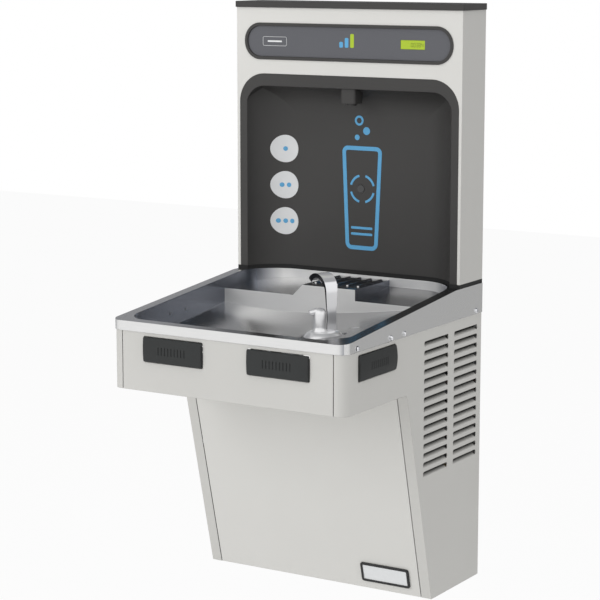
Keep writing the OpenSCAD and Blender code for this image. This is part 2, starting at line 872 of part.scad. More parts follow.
module trap_route(r, extra) {
    low = trap_low + trap_bend;
    pipe([[trap_x, -drain_d, tailpiece_low + (extra > 0 ? extra : 0)], [trap_x, -drain_d, elbow_z],
        [trap_x, -trap_down_d, elbow_z], [trap_x, -trap_down_d, low]], r);
    translate([trap_x, -trap_down_d + trap_bend, low]) rotate([90, 0, -90])
        intersection() {
            rotate_extrude() translate([trap_bend, 0]) circle(r);
            translate([-2 * trap_bend, -2 * trap_bend, -2 * trap_bend])
                cube([4 * trap_bend, 2 * trap_bend, 4 * trap_bend]);
        }
    pipe([[trap_x, -trap_down_d + 2 * trap_bend, low], [trap_x, -trap_down_d + 2 * trap_bend,
        drain_out_z], [trap_x, extra, drain_out_z]], r);
}
module drain_trap() color("dimgray") from_bottom() difference() {
    union() {
        trap_route(trap_d / 2, 0);
        rod_y(-outlet_pin - collar_len, -outlet_pin, trap_x, drain_out_z, outlet_collar_r);
    }
    trap_route(trap_d / 2 - wall, over);
}
module board_drain() color("black") from_bottom() difference() {
    union() {
        box_between([-slot_w / 2 + clear, slot_w / 2 - clear], [-slot_front_d + clear, -slot_back_d - clear],
            [board_z - slot_h, board_z + slot_lip]);
        rod_z(board_z - slot_h - slot_spout, board_z - slot_h, 0, -(slot_front_d + slot_back_d) / 2,
            slot_tube_r);
    }
    box_between([-slot_w / 2 + wall, slot_w / 2 - wall], [-slot_front_d + wall, -slot_back_d - wall],
        [board_z - slot_h + wall, board_z + slot_lip + over]);
    rod_z(board_z - slot_h - slot_spout - over, board_z - slot_h + over, 0,
        -(slot_front_d + slot_back_d) / 2, slot_tube_r - slot_tube_wall);
}

// Bubbler
module at_bubbler() { translate([bubbler_x, -bubbler_d, seat_z]) children(); }
module bubbler_base() color("silver") from_bottom() at_bubbler() rotate_extrude()
    polygon([[shank_d / 2 + clear, 0], [escutcheon_foot / 2, 0],
        [escutcheon_foot / 2, escutcheon_edge], [escutcheon_top / 2, escutcheon_h - escutcheon_edge],
        [escutcheon_top / 2 - escutcheon_edge, escutcheon_h], [shank_d / 2 + clear, escutcheon_h]]);
module bubbler_body() color("silver") from_bottom() at_bubbler() difference() {
    union() {
        translate([-body_shift, 0, escutcheon_h]) cylinder(h = bubbler_body_h, r = bubbler_body_d / 2);
        translate([-body_shift, 0, escutcheon_h + bubbler_body_h]) sphere(bubbler_body_d / 2);
        translate([0, 0, -shank_len]) cylinder(h = shank_len + escutcheon_h, r = shank_d / 2);
        translate([-body_shift, 0, escutcheon_h + bubbler_body_h]) rotate([0, spout_tilt, 0])
            cylinder(h = spout_len, r = spout_r);
    }
    translate([-body_shift, 0, escutcheon_h + bubbler_body_h]) rotate([0, spout_tilt, 0])
        translate([0, 0, spout_len / 2]) cylinder(h = spout_len, r = spout_r - spout_wall);
    translate([0, 0, -shank_len - over]) cylinder(h = shank_len, r = tube_r);
}
// The hood's side profile: an upright foot, then an arc over the spout
function hood_arc(r) = [for (i = [0 : hood_steps]) let (a = hood_sweep * i / hood_steps)
    [hood_back - hood_bend + r * cos(a), hood_rise + r * sin(a)]];
module hood_profile(inner, outer) {
    polygon(concat([[hood_back - hood_bend + inner, 0], [hood_back - hood_bend + outer, 0]],
        hood_arc(outer), [for (i = [hood_steps : -1 : 0]) hood_arc(inner)[i]]));
}
module bubbler_hood() color("silver") from_bottom() at_bubbler() translate([0, 0, escutcheon_h])
    intersection() {
        along_y(-hood_w / 2, hood_w / 2) hood_profile(hood_bend - hood_t, hood_bend);
        along_x(-hood_reach, hood_reach) hood_front();
    }
// The hood seen from the front: a narrow foot that widens upwards
module hood_front() {
    polygon([[-hood_foot_w / 2, 0], [hood_foot_w / 2, 0], [hood_foot_w / 2, hood_rise / 2],
        [hood_w / 2, hood_rise], [hood_w / 2, hood_h], [-hood_w / 2, hood_h], [-hood_w / 2, hood_rise],
        [-hood_foot_w / 2, hood_rise / 2]]);
}
module bubbler_nut() color("goldenrod") from_bottom() at_bubbler() translate([0, 0, -basin_t - nut_h])
    difference() {
        cylinder(h = nut_h, r = nut_r, $fn = 6);
        translate([0, 0, -over]) cylinder(h = nut_h + 2 * over, r = shank_d / 2 + run_clear);
    }
module bubbler_tube() color("white") from_bottom()
    pipe([[bubbler_x, -bubbler_d, seat_z - shank_len], [bubbler_x, -bubbler_d, stem_z],
        [valve_x, -valve_back, stem_z]], tube_r);

// Push pads: the front ones on one bar, the side ones on their own
module pad_face(w, crown_at) {
    crown_r = (pad_h * pad_h / 4 + pad_crown * pad_crown) / (2 * pad_crown);
    difference() {
        intersection() {
            along_y(-crown_at, -crown_at + pad_out + sheet + clear)
                rounded([-w / 2, w / 2], [-pad_h / 2, pad_h / 2], pad_r);
            rotate([0, 90, 0]) translate([0, crown_r - crown_at, -w])
                cylinder(h = 2 * w, r = crown_r, $fn = 720);
        }
        for (i = [-1, 0, 1]) along_y(-crown_at - over, -crown_at + pad_groove)
            rounded([-w / 2 + pad_edge, w / 2 - pad_edge],
                [i * pad_groove_pitch - pad_groove_w / 2, i * pad_groove_pitch + pad_groove_w / 2],
                pad_groove_w / 4);
    }
}
module pad_back(w, front_at) {
    along_y(-front_at, -front_at + pad_t) rounded([-w / 2 - pad_flange, w / 2 + pad_flange],
        [-pad_h / 2 - pad_flange, pad_h / 2 + pad_flange], pad_r);
}
module front_pad() color("dimgray") translate([pad_x, 0, pad_z]) {
    pad_face(pad_w, cabinet_d + pad_out);
    pad_back(pad_w, cabinet_d - sheet - clear);
}
module front_pad_right() from_bottom() front_pad();
module front_pad_left() from_bottom() mirrored() front_pad();
module side_pad() color("dimgray") {
    translate([0, -side_pad_d, pad_z]) rotate([0, 0, 90]) {
        pad_face(side_pad_w, side_x + pad_out);
        pad_back(side_pad_w, side_x - sheet - clear);
    }
    leg_y = -crank_d + crank_arm;
    box_between([leg_x, side_x - sheet - clear - pad_t / 2], [leg_y - leg_d / 2, leg_y + leg_d / 2],
        [pad_z - pad_h / 2, pad_z - pad_h / 2 + leg_d]);
    rod_z(crank_z - clear, pad_z - pad_h / 2 + leg_d, leg_x, leg_y, leg_d / 2);
}
module side_pad_right() from_bottom() side_pad();
module side_pad_left() from_bottom() mirrored() side_pad();
module push_bar() color("gray") from_bottom() {
    front = cabinet_d - sheet - clear - pad_t;
    tip = shaft_depth + arm_w / 2 + clear;
    box_between([-pad_x - pad_w / 2, pad_x + pad_w / 2], [-front, -front + bar_t],
        [bar_z - bar_h / 2, bar_z + bar_h / 2]);
    for (s = [-1, 1]) {
        rod_y(-front + bar_t / 2, -tip - stud_d / 2, s * stud_x, bar_z, stud_d / 2);
        translate([s * stud_x, -tip - stud_d / 2, bar_z]) sphere(stud_d / 2);
    }
}

// Linkage
module linkage_rail() color("lightgray") from_bottom() {
    hw = side_x - sheet - clear;
    difference() {
        union() {
            box_between([-hw, hw], [-rail_front_d, -rail_back_d], [rail_z, rail_z + rail_t]);
            both_sides() {
                box_between([hw - rail_t, hw], [-rail_front_d, -rail_back_d],
                    [rail_z, rail_z + rail_flange_h]);
                along_x(ear_x, ear_x + ear_t) {
                    translate([-shaft_depth, shaft_z]) circle(ear_w / 2);
                    translate([-shaft_depth - ear_w / 2, rail_z]) square([ear_w, shaft_z - rail_z]);
                }
                rod_z(rail_z, crank_z + crank_t + clear, crank_x, -crank_d, crank_pin_d / 2);
                box_between([stud_x - spring_plate_w / 2, stud_x + spring_plate_w / 2],
                    [-spring_plate_d, -spring_plate_d + rail_t], [rail_z, spring_plate_top]);
            }
            box_between([valve_x - valve_plate_w / 2, valve_x + valve_plate_w / 2],
                [-valve_front - valve_plate_t, -valve_front], [rail_z, stem_z + valve_d / 2]);
        }
        rod_x(-side_x, side_x, -shaft_depth, shaft_z, shaft_d / 2 + run_clear);
        for (s = [-1, 1]) rod_y(-spring_plate_d - over, -spring_plate_d + rail_t + over, s * stud_x,
            bar_z, stud_d / 2 + clear);
        rod_y(-valve_front - valve_plate_t - over, -valve_front + over, valve_x, stem_z,
            stem_d / 2 + clear);
    }
}
module rocker() color("silver") from_bottom() {
    rod_x(-shaft_len / 2, shaft_len / 2, -shaft_depth, shaft_z, shaft_d / 2);
    for (x = [-stud_x, stud_x, valve_x]) box_between([x - arm_t / 2, x + arm_t / 2],
        [-shaft_depth - arm_w / 2, -shaft_depth + arm_w / 2], [shaft_z, arm_top]);
    both_sides() {
        box_between([end_arm_x - arm_t / 2, end_arm_x + arm_t / 2],
            [-shaft_depth - arm_w / 2, -shaft_depth + arm_w / 2], [end_arm_low, shaft_z]);
        rod_x(ear_x - clear - collar_w, ear_x - clear, -shaft_depth, shaft_z, collar_r);
    }
}
module crank() color("lightgray") {
    tip = -shaft_depth + arm_w / 2 + finger_gap;
    along_z(crank_z, crank_z + crank_t) translate([crank_x, -crank_d]) difference() {
        union() {
            circle(crank_boss_r);
            translate([-crank_edge, 0]) square([2 * crank_edge, crank_arm + leg_d / 2]);
            translate([-finger_out - finger_w / 2, -finger_w / 2]) square([finger_out, finger_w]);
            translate([-finger_out - finger_w / 2, tip + crank_d])
                square([finger_w, -tip - crank_d]);
        }
        circle(crank_pin_d / 2 + run_clear);
    }
}
module crank_right() from_bottom() crank();
module crank_left() from_bottom() mirrored() crank();

// Coil springs on the bar's studs, one wire each
function coil_point(a, r, len, turns, angle) =
    [(r + spring_wire / 2 * cos(angle)) * cos(a), (r + spring_wire / 2 * cos(angle)) * sin(a),
        spring_wire / 2 + (len - spring_wire) * a / (360 * turns) + spring_wire / 2 * sin(angle)];
module coil(r, len, turns) {
    steps = coil_steps * turns;
    points = [for (i = [0 : steps], k = [0 : coil_sides - 1])
        coil_point(360 * turns * i / steps, r, len, turns, 360 * k / coil_sides)];
    sides = [for (i = [0 : steps - 1], k = [0 : coil_sides - 1])
        let (a = i * coil_sides + k, b = i * coil_sides + (k + 1) % coil_sides)
        each [[a, b, b + coil_sides], [a, b + coil_sides, a + coil_sides]]];
    ends = [for (k = [1 : coil_sides - 2]) each [[0, k + 1, k],
        [steps * coil_sides, steps * coil_sides + k, steps * coil_sides + k + 1]]];
    polyhedron(points, concat(sides, ends));
}
module bar_springs() color("silver") from_bottom() for (s = [-1, 1]) {
    bar_back = cabinet_d - sheet - clear - pad_t - bar_t;
    translate([s * stud_x, -spring_plate_d, bar_z]) rotate([90, 0, 0])
        coil(spring_r, bar_back - spring_plate_d, spring_turns);
}

// Regulating valve
module valve_body() color("goldenrod") from_bottom() difference() {
    union() {
        rod_y(-valve_front, -valve_back, valve_x, stem_z, valve_d / 2);
        rod_x(valve_x - valve_d / 2 - port_len, valve_x, -port_depth, stem_z, port_r);
    }
    rod_y(-valve_front - over, -valve_front + stem_bore, valve_x, stem_z, stem_d / 2 + run_clear);
}
module valve_stem() color("silver") from_bottom() {
    tip = shaft_depth - arm_w / 2 - stem_gap;
    rod_y(-tip + stem_d / 2, -valve_front + stem_bore - stem_room, valve_x, stem_z, stem_d / 2);
    translate([valve_x, -tip + stem_d / 2, stem_z]) sphere(stem_d / 2);
}
module tank_tube() color("white") from_bottom()
    pipe([[tank_x, -tank_depth, tank_z + tank_h], [tank_x, -tank_depth, tube_z],
        [tank_x, -port_depth, tube_z], [tank_x, -port_depth, stem_z],
        [valve_x - valve_d / 2 - port_len, -port_depth, stem_z]], tube_r);

// Water supply
module inlet_tube() color("white") from_bottom() {
    pipe([[inlet_x, 0, inlet_z], [inlet_x, -inlet_depth, inlet_z],
        [inlet_x, -inlet_depth, inlet_z + strainer_rise]], inlet_d / 2);
    rod_y(-inlet_pin - collar_len, -inlet_pin, inlet_x, inlet_z, inlet_collar_r);
    pipe([[inlet_x, -inlet_depth, inlet_z + strainer_rise + filter_h],
        [inlet_x, -inlet_depth, feed_z], [feed_x, -inlet_depth, feed_z],
        [feed_x, -tank_depth, feed_z], [tank_x + tank_d / 2, -tank_depth, feed_z]], inlet_d / 2);
}
module water_strainer() color("goldenrod") from_bottom()
    rod_z(inlet_z + strainer_rise, inlet_z + strainer_rise + filter_h, inlet_x, -inlet_depth, filter_r);
module cold_tank() color("ivory") from_bottom() translate([tank_x, -tank_depth, tank_z])
    rotate_extrude() rounded_post(tank_d / 2, tank_h, tank_round);
module rounded_post(r, h, corner) {
    square([r - corner, h]);
    translate([0, corner]) square([r, h - 2 * corner]);
    for (z = [corner, h - corner]) translate([r - corner, z]) circle(corner);
}
module thermostat() color("ivory") from_bottom() box_between(
    [tank_x - thermostat_size.y / 2, tank_x + thermostat_size.y / 2],
    [-tank_depth - tank_d / 2 - thermostat_size.x, -tank_depth - tank_d / 2],
    [thermostat_z, thermostat_z + thermostat_size.z]);

// Cooling unit
module compressor() color("black") from_bottom() translate([compressor_x, -compressor_depth, 0]) {
    translate([0, 0, compressor_z + base_plate_t])
        rotate_extrude() rounded_post(compressor_d / 2, compressor_h, compressor_round);
    box_between([-base_w / 2, base_w / 2], [-base_d / 2, base_d / 2],
        [compressor_z, compressor_z + base_plate_t]);
}
module compressor_feet() color("black") from_bottom() for (sx = [-1, 1], sy = [-1, 1])
    translate([compressor_x + sx * foot_x, -compressor_depth + sy * foot_y, sheet]) rotate_extrude()
        polygon([[0, 0], [foot_r, 0], [foot_r * foot_waist_share, foot_h / 2], [foot_r, foot_h],
            [0, foot_h]]);
function row_z(i) = coil_low + (coil_top - coil_low) * (i + 0.5) / coil_rows;
module condenser_coil() color("peru") from_bottom() {
    bend = (coil_top - coil_low) / coil_rows / 2;
    front = coil_front - bend - coil_r;
    back = coil_back + bend + coil_r;
    for (i = [0 : coil_rows - 1]) rod_y(-front, -back, coil_x, row_z(i), coil_r);
    for (i = [0 : coil_rows - 2]) {
        at_front = i % 2 == 0;
        translate([coil_x, at_front ? -front : -back, row_z(i) + bend])
            rotate([0, 90, at_front ? 180 : 0])
                rotate_extrude(angle = 180) translate([bend, 0]) circle(coil_r);
    }
}
module condenser_fins() color("gainsboro") from_bottom() {
    bend = (coil_top - coil_low) / coil_rows / 2;
    front = coil_front - bend - coil_r;
    back = coil_back + bend + coil_r;
    for (i = [0 : fin_count - 1]) {
        y = -front + (front - back - fin_t) * i / (fin_count - 1);
        along_y(y, y + fin_t) difference() {
            translate([coil_x - coil_t / 2, coil_low]) square([coil_t, coil_top - coil_low]);
            for (k = [0 : coil_rows - 1]) translate([coil_x, row_z(k)]) circle(coil_r + run_clear);
        }
    }
}
module fan_shroud() color("dimgray") from_bottom() {
    ring_r = fan_d / 2 + fan_gap;
    difference() {
        union() {
            box_between([shroud_x - shroud_t, shroud_x], [-coil_front, -coil_back],
                [coil_low, coil_top]);
            box_between([shroud_x - shroud_t, shroud_x], [-coil_back, -sheet],
                [coil_top - shroud_foot_h, coil_top]);
            rod_x(shroud_x - shroud_ring, shroud_x, -fan_depth, fan_z, ring_r + shroud_t);
        }
        rod_x(shroud_x - shroud_ring - over, shroud_x + over, -fan_depth, fan_z, ring_r);
    }
    for (i = [0 : 2]) translate([shroud_x - shroud_ring, -fan_depth, fan_z])
        rotate([90 + 120 * i, 0, 0]) translate([0, -strut_w / 2, motor_d / 2 - strut_foot])
            cube([strut_t, strut_w, ring_r + shroud_t / 2 - motor_d / 2 + strut_foot]);
}
module fan_motor() color("black") from_bottom() difference() {
    rod_x(shroud_x - shroud_ring - motor_len, shroud_x - shroud_ring, -fan_depth, fan_z, motor_d / 2);
    rod_x(shroud_x - shroud_ring - motor_len / 2, shroud_x - shroud_ring + over, -fan_depth, fan_z,
        fan_shaft_d / 2 + run_clear);
}
module fan_blade() color("gray") from_bottom() translate([0, -fan_depth, fan_z]) {
    hub_start = shroud_x - shroud_ring + strut_t + fan_room;
    rod_x(shroud_x - shroud_ring - motor_len / 2 + fan_room, hub_start + hub_w / 2, 0, 0,
        fan_shaft_d / 2);
    rod_x(hub_start, hub_start + hub_w, 0, 0, hub_r);
    for (i = [0 : fan_blades - 1]) rotate([360 * i / fan_blades, 0, 0])
        translate([hub_start + hub_w / 2, 0, 0]) rotate([0, 0, blade_pitch])
            translate([-blade_t / 2, -blade_w / 2, hub_r - blade_t]) cube([blade_t, blade_w,
                fan_d / 2 - hub_r]);
}
module filter_drier() color("peru") from_bottom() translate([coil_x, -drier_depth, drier_low])
    rotate_extrude() rounded_post(drier_r, drier_top - drier_low, drier_r / 2);
module refrigerant_tubes() color("peru") from_bottom() {
    bend = (coil_top - coil_low) / coil_rows / 2;
    coil_end = coil_back + bend + coil_r;
    coil_start = coil_front - bend - coil_r;
    pipe([[compressor_x + compressor_d / 2, -compressor_depth, gas_z],
        [coil_x, -compressor_depth, gas_z], [coil_x, -gas_up_d, gas_z],
        [coil_x, -gas_up_d, row_z(0)], [coil_x, -coil_end, row_z(0)]], gas_r);
    pipe([[coil_x, -coil_start, row_z(coil_rows - 1)], [coil_x, -drier_depth, row_z(coil_rows - 1)],
        [coil_x, -drier_depth, drier_top]], gas_r);
    pipe([[coil_x, -drier_depth, drier_low], [coil_x, -drier_depth, capillary_z],
        [tank_x, -drier_depth, capillary_z], [tank_x, -tank_depth - tank_d / 2, capillary_z]],
        capillary_r);
    suction_x = compressor_x + suction_shift;
    pipe([[suction_x, -tank_depth, compressor_z + base_plate_t + compressor_h],
        [suction_x, -tank_depth, suction_z], [tank_x - tank_d / 2, -tank_depth, suction_z]], gas_r);
}
module junction_box() color("silver") from_bottom() {
    box_between([junction_x, junction_x + junction_size.x], [-junction_back - junction_size.y,
        -junction_back], [sheet, sheet + junction_size.z]);
    rod_z(sheet + junction_size.z, sheet + junction_size.z + gland_h,
        junction_x + junction_size.x / 2, -junction_back - junction_size.y / 2, gland_r);
}

// Tower
module tower_back_plate() color("gainsboro") from_bottom() {
    hw = tower_w / 2 - tower_t - clear;
    difference() {
        box_between([-hw, hw], [-tower_t, 0], [tower_low, tower_top]);
        for (s = [-1, 1]) rod_y(-tower_t - over, over, s * tower_bolt_x / 2, tower_bolt_z,
            tower_hole / 2);
    }
    difference() {
        box_between([-solenoid_w / 2, solenoid_w / 2], [-solenoid_depth - solenoid_w / 2, 0],
            [solenoid_z - tower_t, solenoid_z]);
        rod_z(solenoid_z - tower_t - over, solenoid_z + over, 0, -solenoid_depth, tube_r + clear);
    }
}
module alcove_front(inset) {
    hw = alcove_w / 2 - inset;
    top = alcove_top - inset;
    r = alcove_r - inset;
    translate([-hw, tower_low - over]) square([2 * hw, top - r - tower_low + over]);
    translate([-hw + r, tower_low - over]) square([2 * (hw - r), top - tower_low + over]);
    for (s = [-1, 1]) translate([s * (hw - r), top - r]) circle(r);
}
module fascia_outline(inset) {
    rounded([-fascia_w / 2 + inset, fascia_w / 2 - inset],
        [fascia_z - fascia_h / 2 + inset, fascia_z + fascia_h / 2 - inset],
        fascia_h / 2 - inset - stadium_flat);
}
module tower_shell() color("gainsboro") from_bottom() difference() {
    box_between([-tower_w / 2, tower_w / 2], [-tower_d, 0], [tower_low, tower_top]);
    box_between([-tower_w / 2 + tower_t, tower_w / 2 - tower_t], [-tower_d + tower_t, over],
        [tower_low - over, tower_top + over]);
    along_y(-tower_d - over, -tower_d + tower_t + over) {
        alcove_front(0);
        fascia_outline(bezel_lap);
    }
}
module top_cap() color("dimgray") from_bottom() along_z(tower_top, tower_top + cap_h)
    rounded([-tower_w / 2 - cap_over, tower_w / 2 + cap_over], [-tower_d - cap_over, 0], cap_over);

// The alcove's hollow, grown by g
module pocket_space(g) {
    front_hw = alcove_w / 2 - lip_side + g;
    top = alcove_top - lip_top + g;
    corner = alcove_r - lip_side + g;
    intersection() {
        along_y(-tower_d - over, 0) {
            translate([-front_hw, tower_low - over]) square([2 * front_hw, top - corner - tower_low + over]);
            translate([-front_hw + corner, tower_low - over])
                square([2 * (front_hw - corner), top - tower_low + over]);
            for (s = [-1, 1]) translate([s * (front_hw - corner), top - corner]) circle(corner);
        }
        along_z(tower_low - over, alcove_top) pocket_plan(g);
        along_x(-tower_w, tower_w) {
            translate([-tower_d - over, tower_low - over])
                square([tower_d + over - pocket_back + g, top - cove_r - g - tower_low + over]);
            translate([-tower_d - over, tower_low - over])
                square([tower_d + over - pocket_back - cove_r, top - tower_low + over]);
            translate([-pocket_back - cove_r, top - cove_r - g]) circle(cove_r + g);
        }
    }
}
module pocket_plan(g) {
    hw = alcove_w / 2 - lip_side + pocket_bulge;
    translate([-hw + pocket_r, -tower_d - over])
        square([2 * (hw - pocket_r), tower_d + over - pocket_back + g]);
    for (s = [-1, 1]) translate([s * (hw - pocket_r), -pocket_back - pocket_r]) circle(pocket_r + g);
}
module alcove_liner() color("dimgray") from_bottom() difference() {
    union() {
        along_y(-tower_d + lip_sunk, -tower_d + lip_sunk + liner_t) intersection() {
            alcove_front(clear);
            translate([-tower_w, tower_low]) square([2 * tower_w, tower_top - tower_low]);
        }
        intersection() {
            pocket_space(liner_t);
            box_between([-tower_w, tower_w], [-tower_d + lip_sunk, 0], [tower_low, alcove_top]);
        }
    }
    pocket_space(0);
    rod_y(-pocket_back - over, over, 0, lens_z, lens_r + clear);
    rod_z(alcove_top - lip_top - cove_r, alcove_top, 0, -nozzle_depth, neck_r + clear);
}
module fascia_bezel() color("dimgray") from_bottom() {
    along_y(-tower_d - bezel_out, -tower_d) difference() {
        fascia_outline(0);
        fascia_outline(bezel_ring);
    }
    along_y(-tower_d, -tower_d + tower_t + fascia_t) difference() {
        fascia_outline(bezel_lap + clear);
        fascia_outline(bezel_ring);
    }
}
module window_outline(g) {
    rounded([window_x - window_w / 2 - g, window_x + window_w / 2 + g],
        [fascia_z - window_h / 2 - g, fascia_z + window_h / 2 + g], window_t / 2);
}
module fascia_panel() color("gray") from_bottom()
    along_y(-tower_d + fascia_recess, -tower_d + fascia_recess + fascia_t) difference() {
        fascia_outline(bezel_ring + clear);
        window_outline(clear);
    }
module display_window() color("yellowgreen") from_bottom()
    along_y(-tower_d + fascia_recess + window_sunk, -tower_d + fascia_recess + window_t)
        window_outline(0);
module filler_nozzle() color("dimgray") from_bottom() difference() {
    union() {
        intersection() {
            pocket_space(-clear);
            union() {
                along_z(nozzle_low, alcove_top) rounded([-nozzle_w / 2, nozzle_w / 2],
                    [-nozzle_depth - nozzle_d / 2, -nozzle_depth + nozzle_d / 2], nozzle_r);
            }
        }
        rod_z(alcove_top - lip_top - cove_r / 2, neck_top, 0, -nozzle_depth, neck_r);
        rod_z(nozzle_low - tip_len, nozzle_low, 0, -nozzle_depth, neck_r);
    }
    rod_z(nozzle_low - tip_len - over, neck_top - tip_len, 0, -nozzle_depth, neck_r - wall);
}
module sensor_lens() color("black") from_bottom()
    rod_y(-pocket_back - lens_out, -pocket_back + lens_in, 0, lens_z, lens_r);
module tower_gasket() color("black") from_bottom() along_z(deck_z, tower_low) difference() {
    translate([-tower_w / 2, -tower_d]) square([tower_w, tower_d]);
    pocket_plan(0);
    difference() {
        translate([-tower_w / 2 + gasket_w, -tower_d + gasket_w])
            square([tower_w - 2 * gasket_w, tower_d - 2 * gasket_w]);
        pocket_plan(gasket_w);
    }
}
module solenoid_valve() color("steelblue") from_bottom() {
    box_between([-solenoid_w / 2, solenoid_w / 2], [-solenoid_depth - solenoid_w / 2,
        -solenoid_depth + solenoid_w / 2], [solenoid_z, solenoid_z + solenoid_h]);
    rod_z(solenoid_z + solenoid_h, solenoid_z + solenoid_h + solenoid_coil_h, 0, -solenoid_depth,
        solenoid_coil_r);
}
module control_box() color("black") from_bottom() box_between(
    [control_x, control_x + control_size.x], [-tower_t - control_size.y, -tower_t],
    [control_z, control_z + control_size.z]);
module filler_tube() color("white") from_bottom() {
    pipe([[tank_x + riser_shift, -tank_depth, tank_z + tank_h], [tank_x + riser_shift, -tank_depth,
        riser_turn_z], [tank_x + riser_shift, -riser_depth, riser_turn_z],
        [tank_x + riser_shift, -riser_depth, solenoid_z + solenoid_h / 2],
        [tank_x + riser_shift, -solenoid_depth, solenoid_z + solenoid_h / 2],
        [solenoid_w / 2, -solenoid_depth, solenoid_z + solenoid_h / 2]], tube_r);
    pipe([[0, -solenoid_depth, solenoid_z], [0, -solenoid_depth, neck_top + tube_r],
        [0, -nozzle_depth, neck_top + tube_r], [0, -nozzle_depth, neck_top]], tube_r);
}

wall_hanger();
back_frame();
bottom_pan();
side_panel_left();
side_panel_right();
apron_panel();
lower_front_panel();
nameplate_frame();
nameplate_plate();
basin();
basin_screws();
drain_strainer();
drain_body();
drain_trap();
board_drain();
bubbler_base();
bubbler_body();
bubbler_hood();
bubbler_nut();
bubbler_tube();
linkage_rail();
push_bar();
front_pad_left();
front_pad_right();
side_pad_left();
side_pad_right();
crank_left();
crank_right();
rocker();
bar_springs();
valve_body();
valve_stem();
tank_tube();
inlet_tube();
water_strainer();
cold_tank();
thermostat();
compressor();
compressor_feet();
condenser_coil();
condenser_fins();
fan_shroud();
fan_motor();
fan_blade();
filter_drier();
refrigerant_tubes();
junction_box();
tower_back_plate();
tower_shell();
top_cap();
alcove_liner();
fascia_bezel();
fascia_panel();
display_window();
filler_nozzle();
sensor_lens();
tower_gasket();
solenoid_valve();
control_box();
filler_tube();
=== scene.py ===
# Wall-hung bottle filling station: finishes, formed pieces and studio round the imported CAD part
# Metres, +Z up, -Y towards the user, the wall's plane at y = 0

import json
import math

import bpy
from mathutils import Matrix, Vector


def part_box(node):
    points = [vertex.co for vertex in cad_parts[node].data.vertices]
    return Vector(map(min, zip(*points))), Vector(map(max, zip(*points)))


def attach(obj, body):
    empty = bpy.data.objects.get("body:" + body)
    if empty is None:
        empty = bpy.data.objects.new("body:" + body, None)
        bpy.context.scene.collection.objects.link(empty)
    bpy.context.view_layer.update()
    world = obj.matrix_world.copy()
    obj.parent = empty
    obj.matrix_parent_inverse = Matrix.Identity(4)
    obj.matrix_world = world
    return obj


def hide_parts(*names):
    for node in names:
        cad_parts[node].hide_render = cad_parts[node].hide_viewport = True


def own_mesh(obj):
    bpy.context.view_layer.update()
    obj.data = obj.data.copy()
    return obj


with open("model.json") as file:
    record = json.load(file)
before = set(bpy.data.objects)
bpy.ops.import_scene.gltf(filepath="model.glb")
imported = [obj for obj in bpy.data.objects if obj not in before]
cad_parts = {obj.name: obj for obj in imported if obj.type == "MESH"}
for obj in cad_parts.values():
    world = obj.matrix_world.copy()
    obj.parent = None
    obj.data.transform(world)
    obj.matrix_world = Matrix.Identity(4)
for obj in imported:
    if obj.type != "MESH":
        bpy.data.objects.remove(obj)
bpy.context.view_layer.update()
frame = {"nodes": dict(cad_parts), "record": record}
print("frame loaded:", len(frame["nodes"]), "nodes")

bpy.context.scene.view_settings.view_transform = "Standard"


# Camera, solved from the photograph's vanishing lines
camera = {
    "place": (1.8297, -3.2004, 0.6734),
    "turn": (80.362, 0.0, 31.707),
    "lens": 123.66,
    "sensor": 36.0,
}


def makeCamera():
    data = bpy.data.cameras.new("camera")
    data.lens = camera["lens"]
    data.sensor_width = camera["sensor"]
    holder = bpy.data.objects.new("camera", data)
    holder.location = camera["place"]
    holder.rotation_euler = [math.radians(a) for a in camera["turn"]]
    bpy.context.collection.objects.link(holder)
    bpy.context.scene.camera = holder


makeCamera()
print("camera made")


# Screen colour, 0 to 255, as the linear colour that the shaders take
def screen(red, green, blue):
    def linear(part):
        part = part / 255
        return part / 12.92 if part <= 0.04045 else ((part + 0.055) / 1.055) ** 2.4

    return (linear(red), linear(green), linear(blue), 1.0)


# A value, colour or vector in a material, with the operators that the finishes use
class Field:
    def __init__(self, finish, socket):
        self.finish = finish
        self.socket = socket

    def maths(self, operation, *values):
        return self.finish.node("ShaderNodeMath", {"operation": operation}, dict(enumerate(values)))

    def __add__(self, other):
        return self.maths("ADD", self, other)

    def __radd__(self, other):
        return self.maths("ADD", other, self)

    def __rsub__(self, other):
        return self.maths("SUBTRACT", other, self)

    def __mul__(self, other):
        return self.maths("MULTIPLY", self, other)

    def __gt__(self, other):
        return self.maths("GREATER_THAN", self, other)

    def __lt__(self, other):
        return self.maths("LESS_THAN", self, other)

    def __abs__(self):
        return self.maths("ABSOLUTE", self)


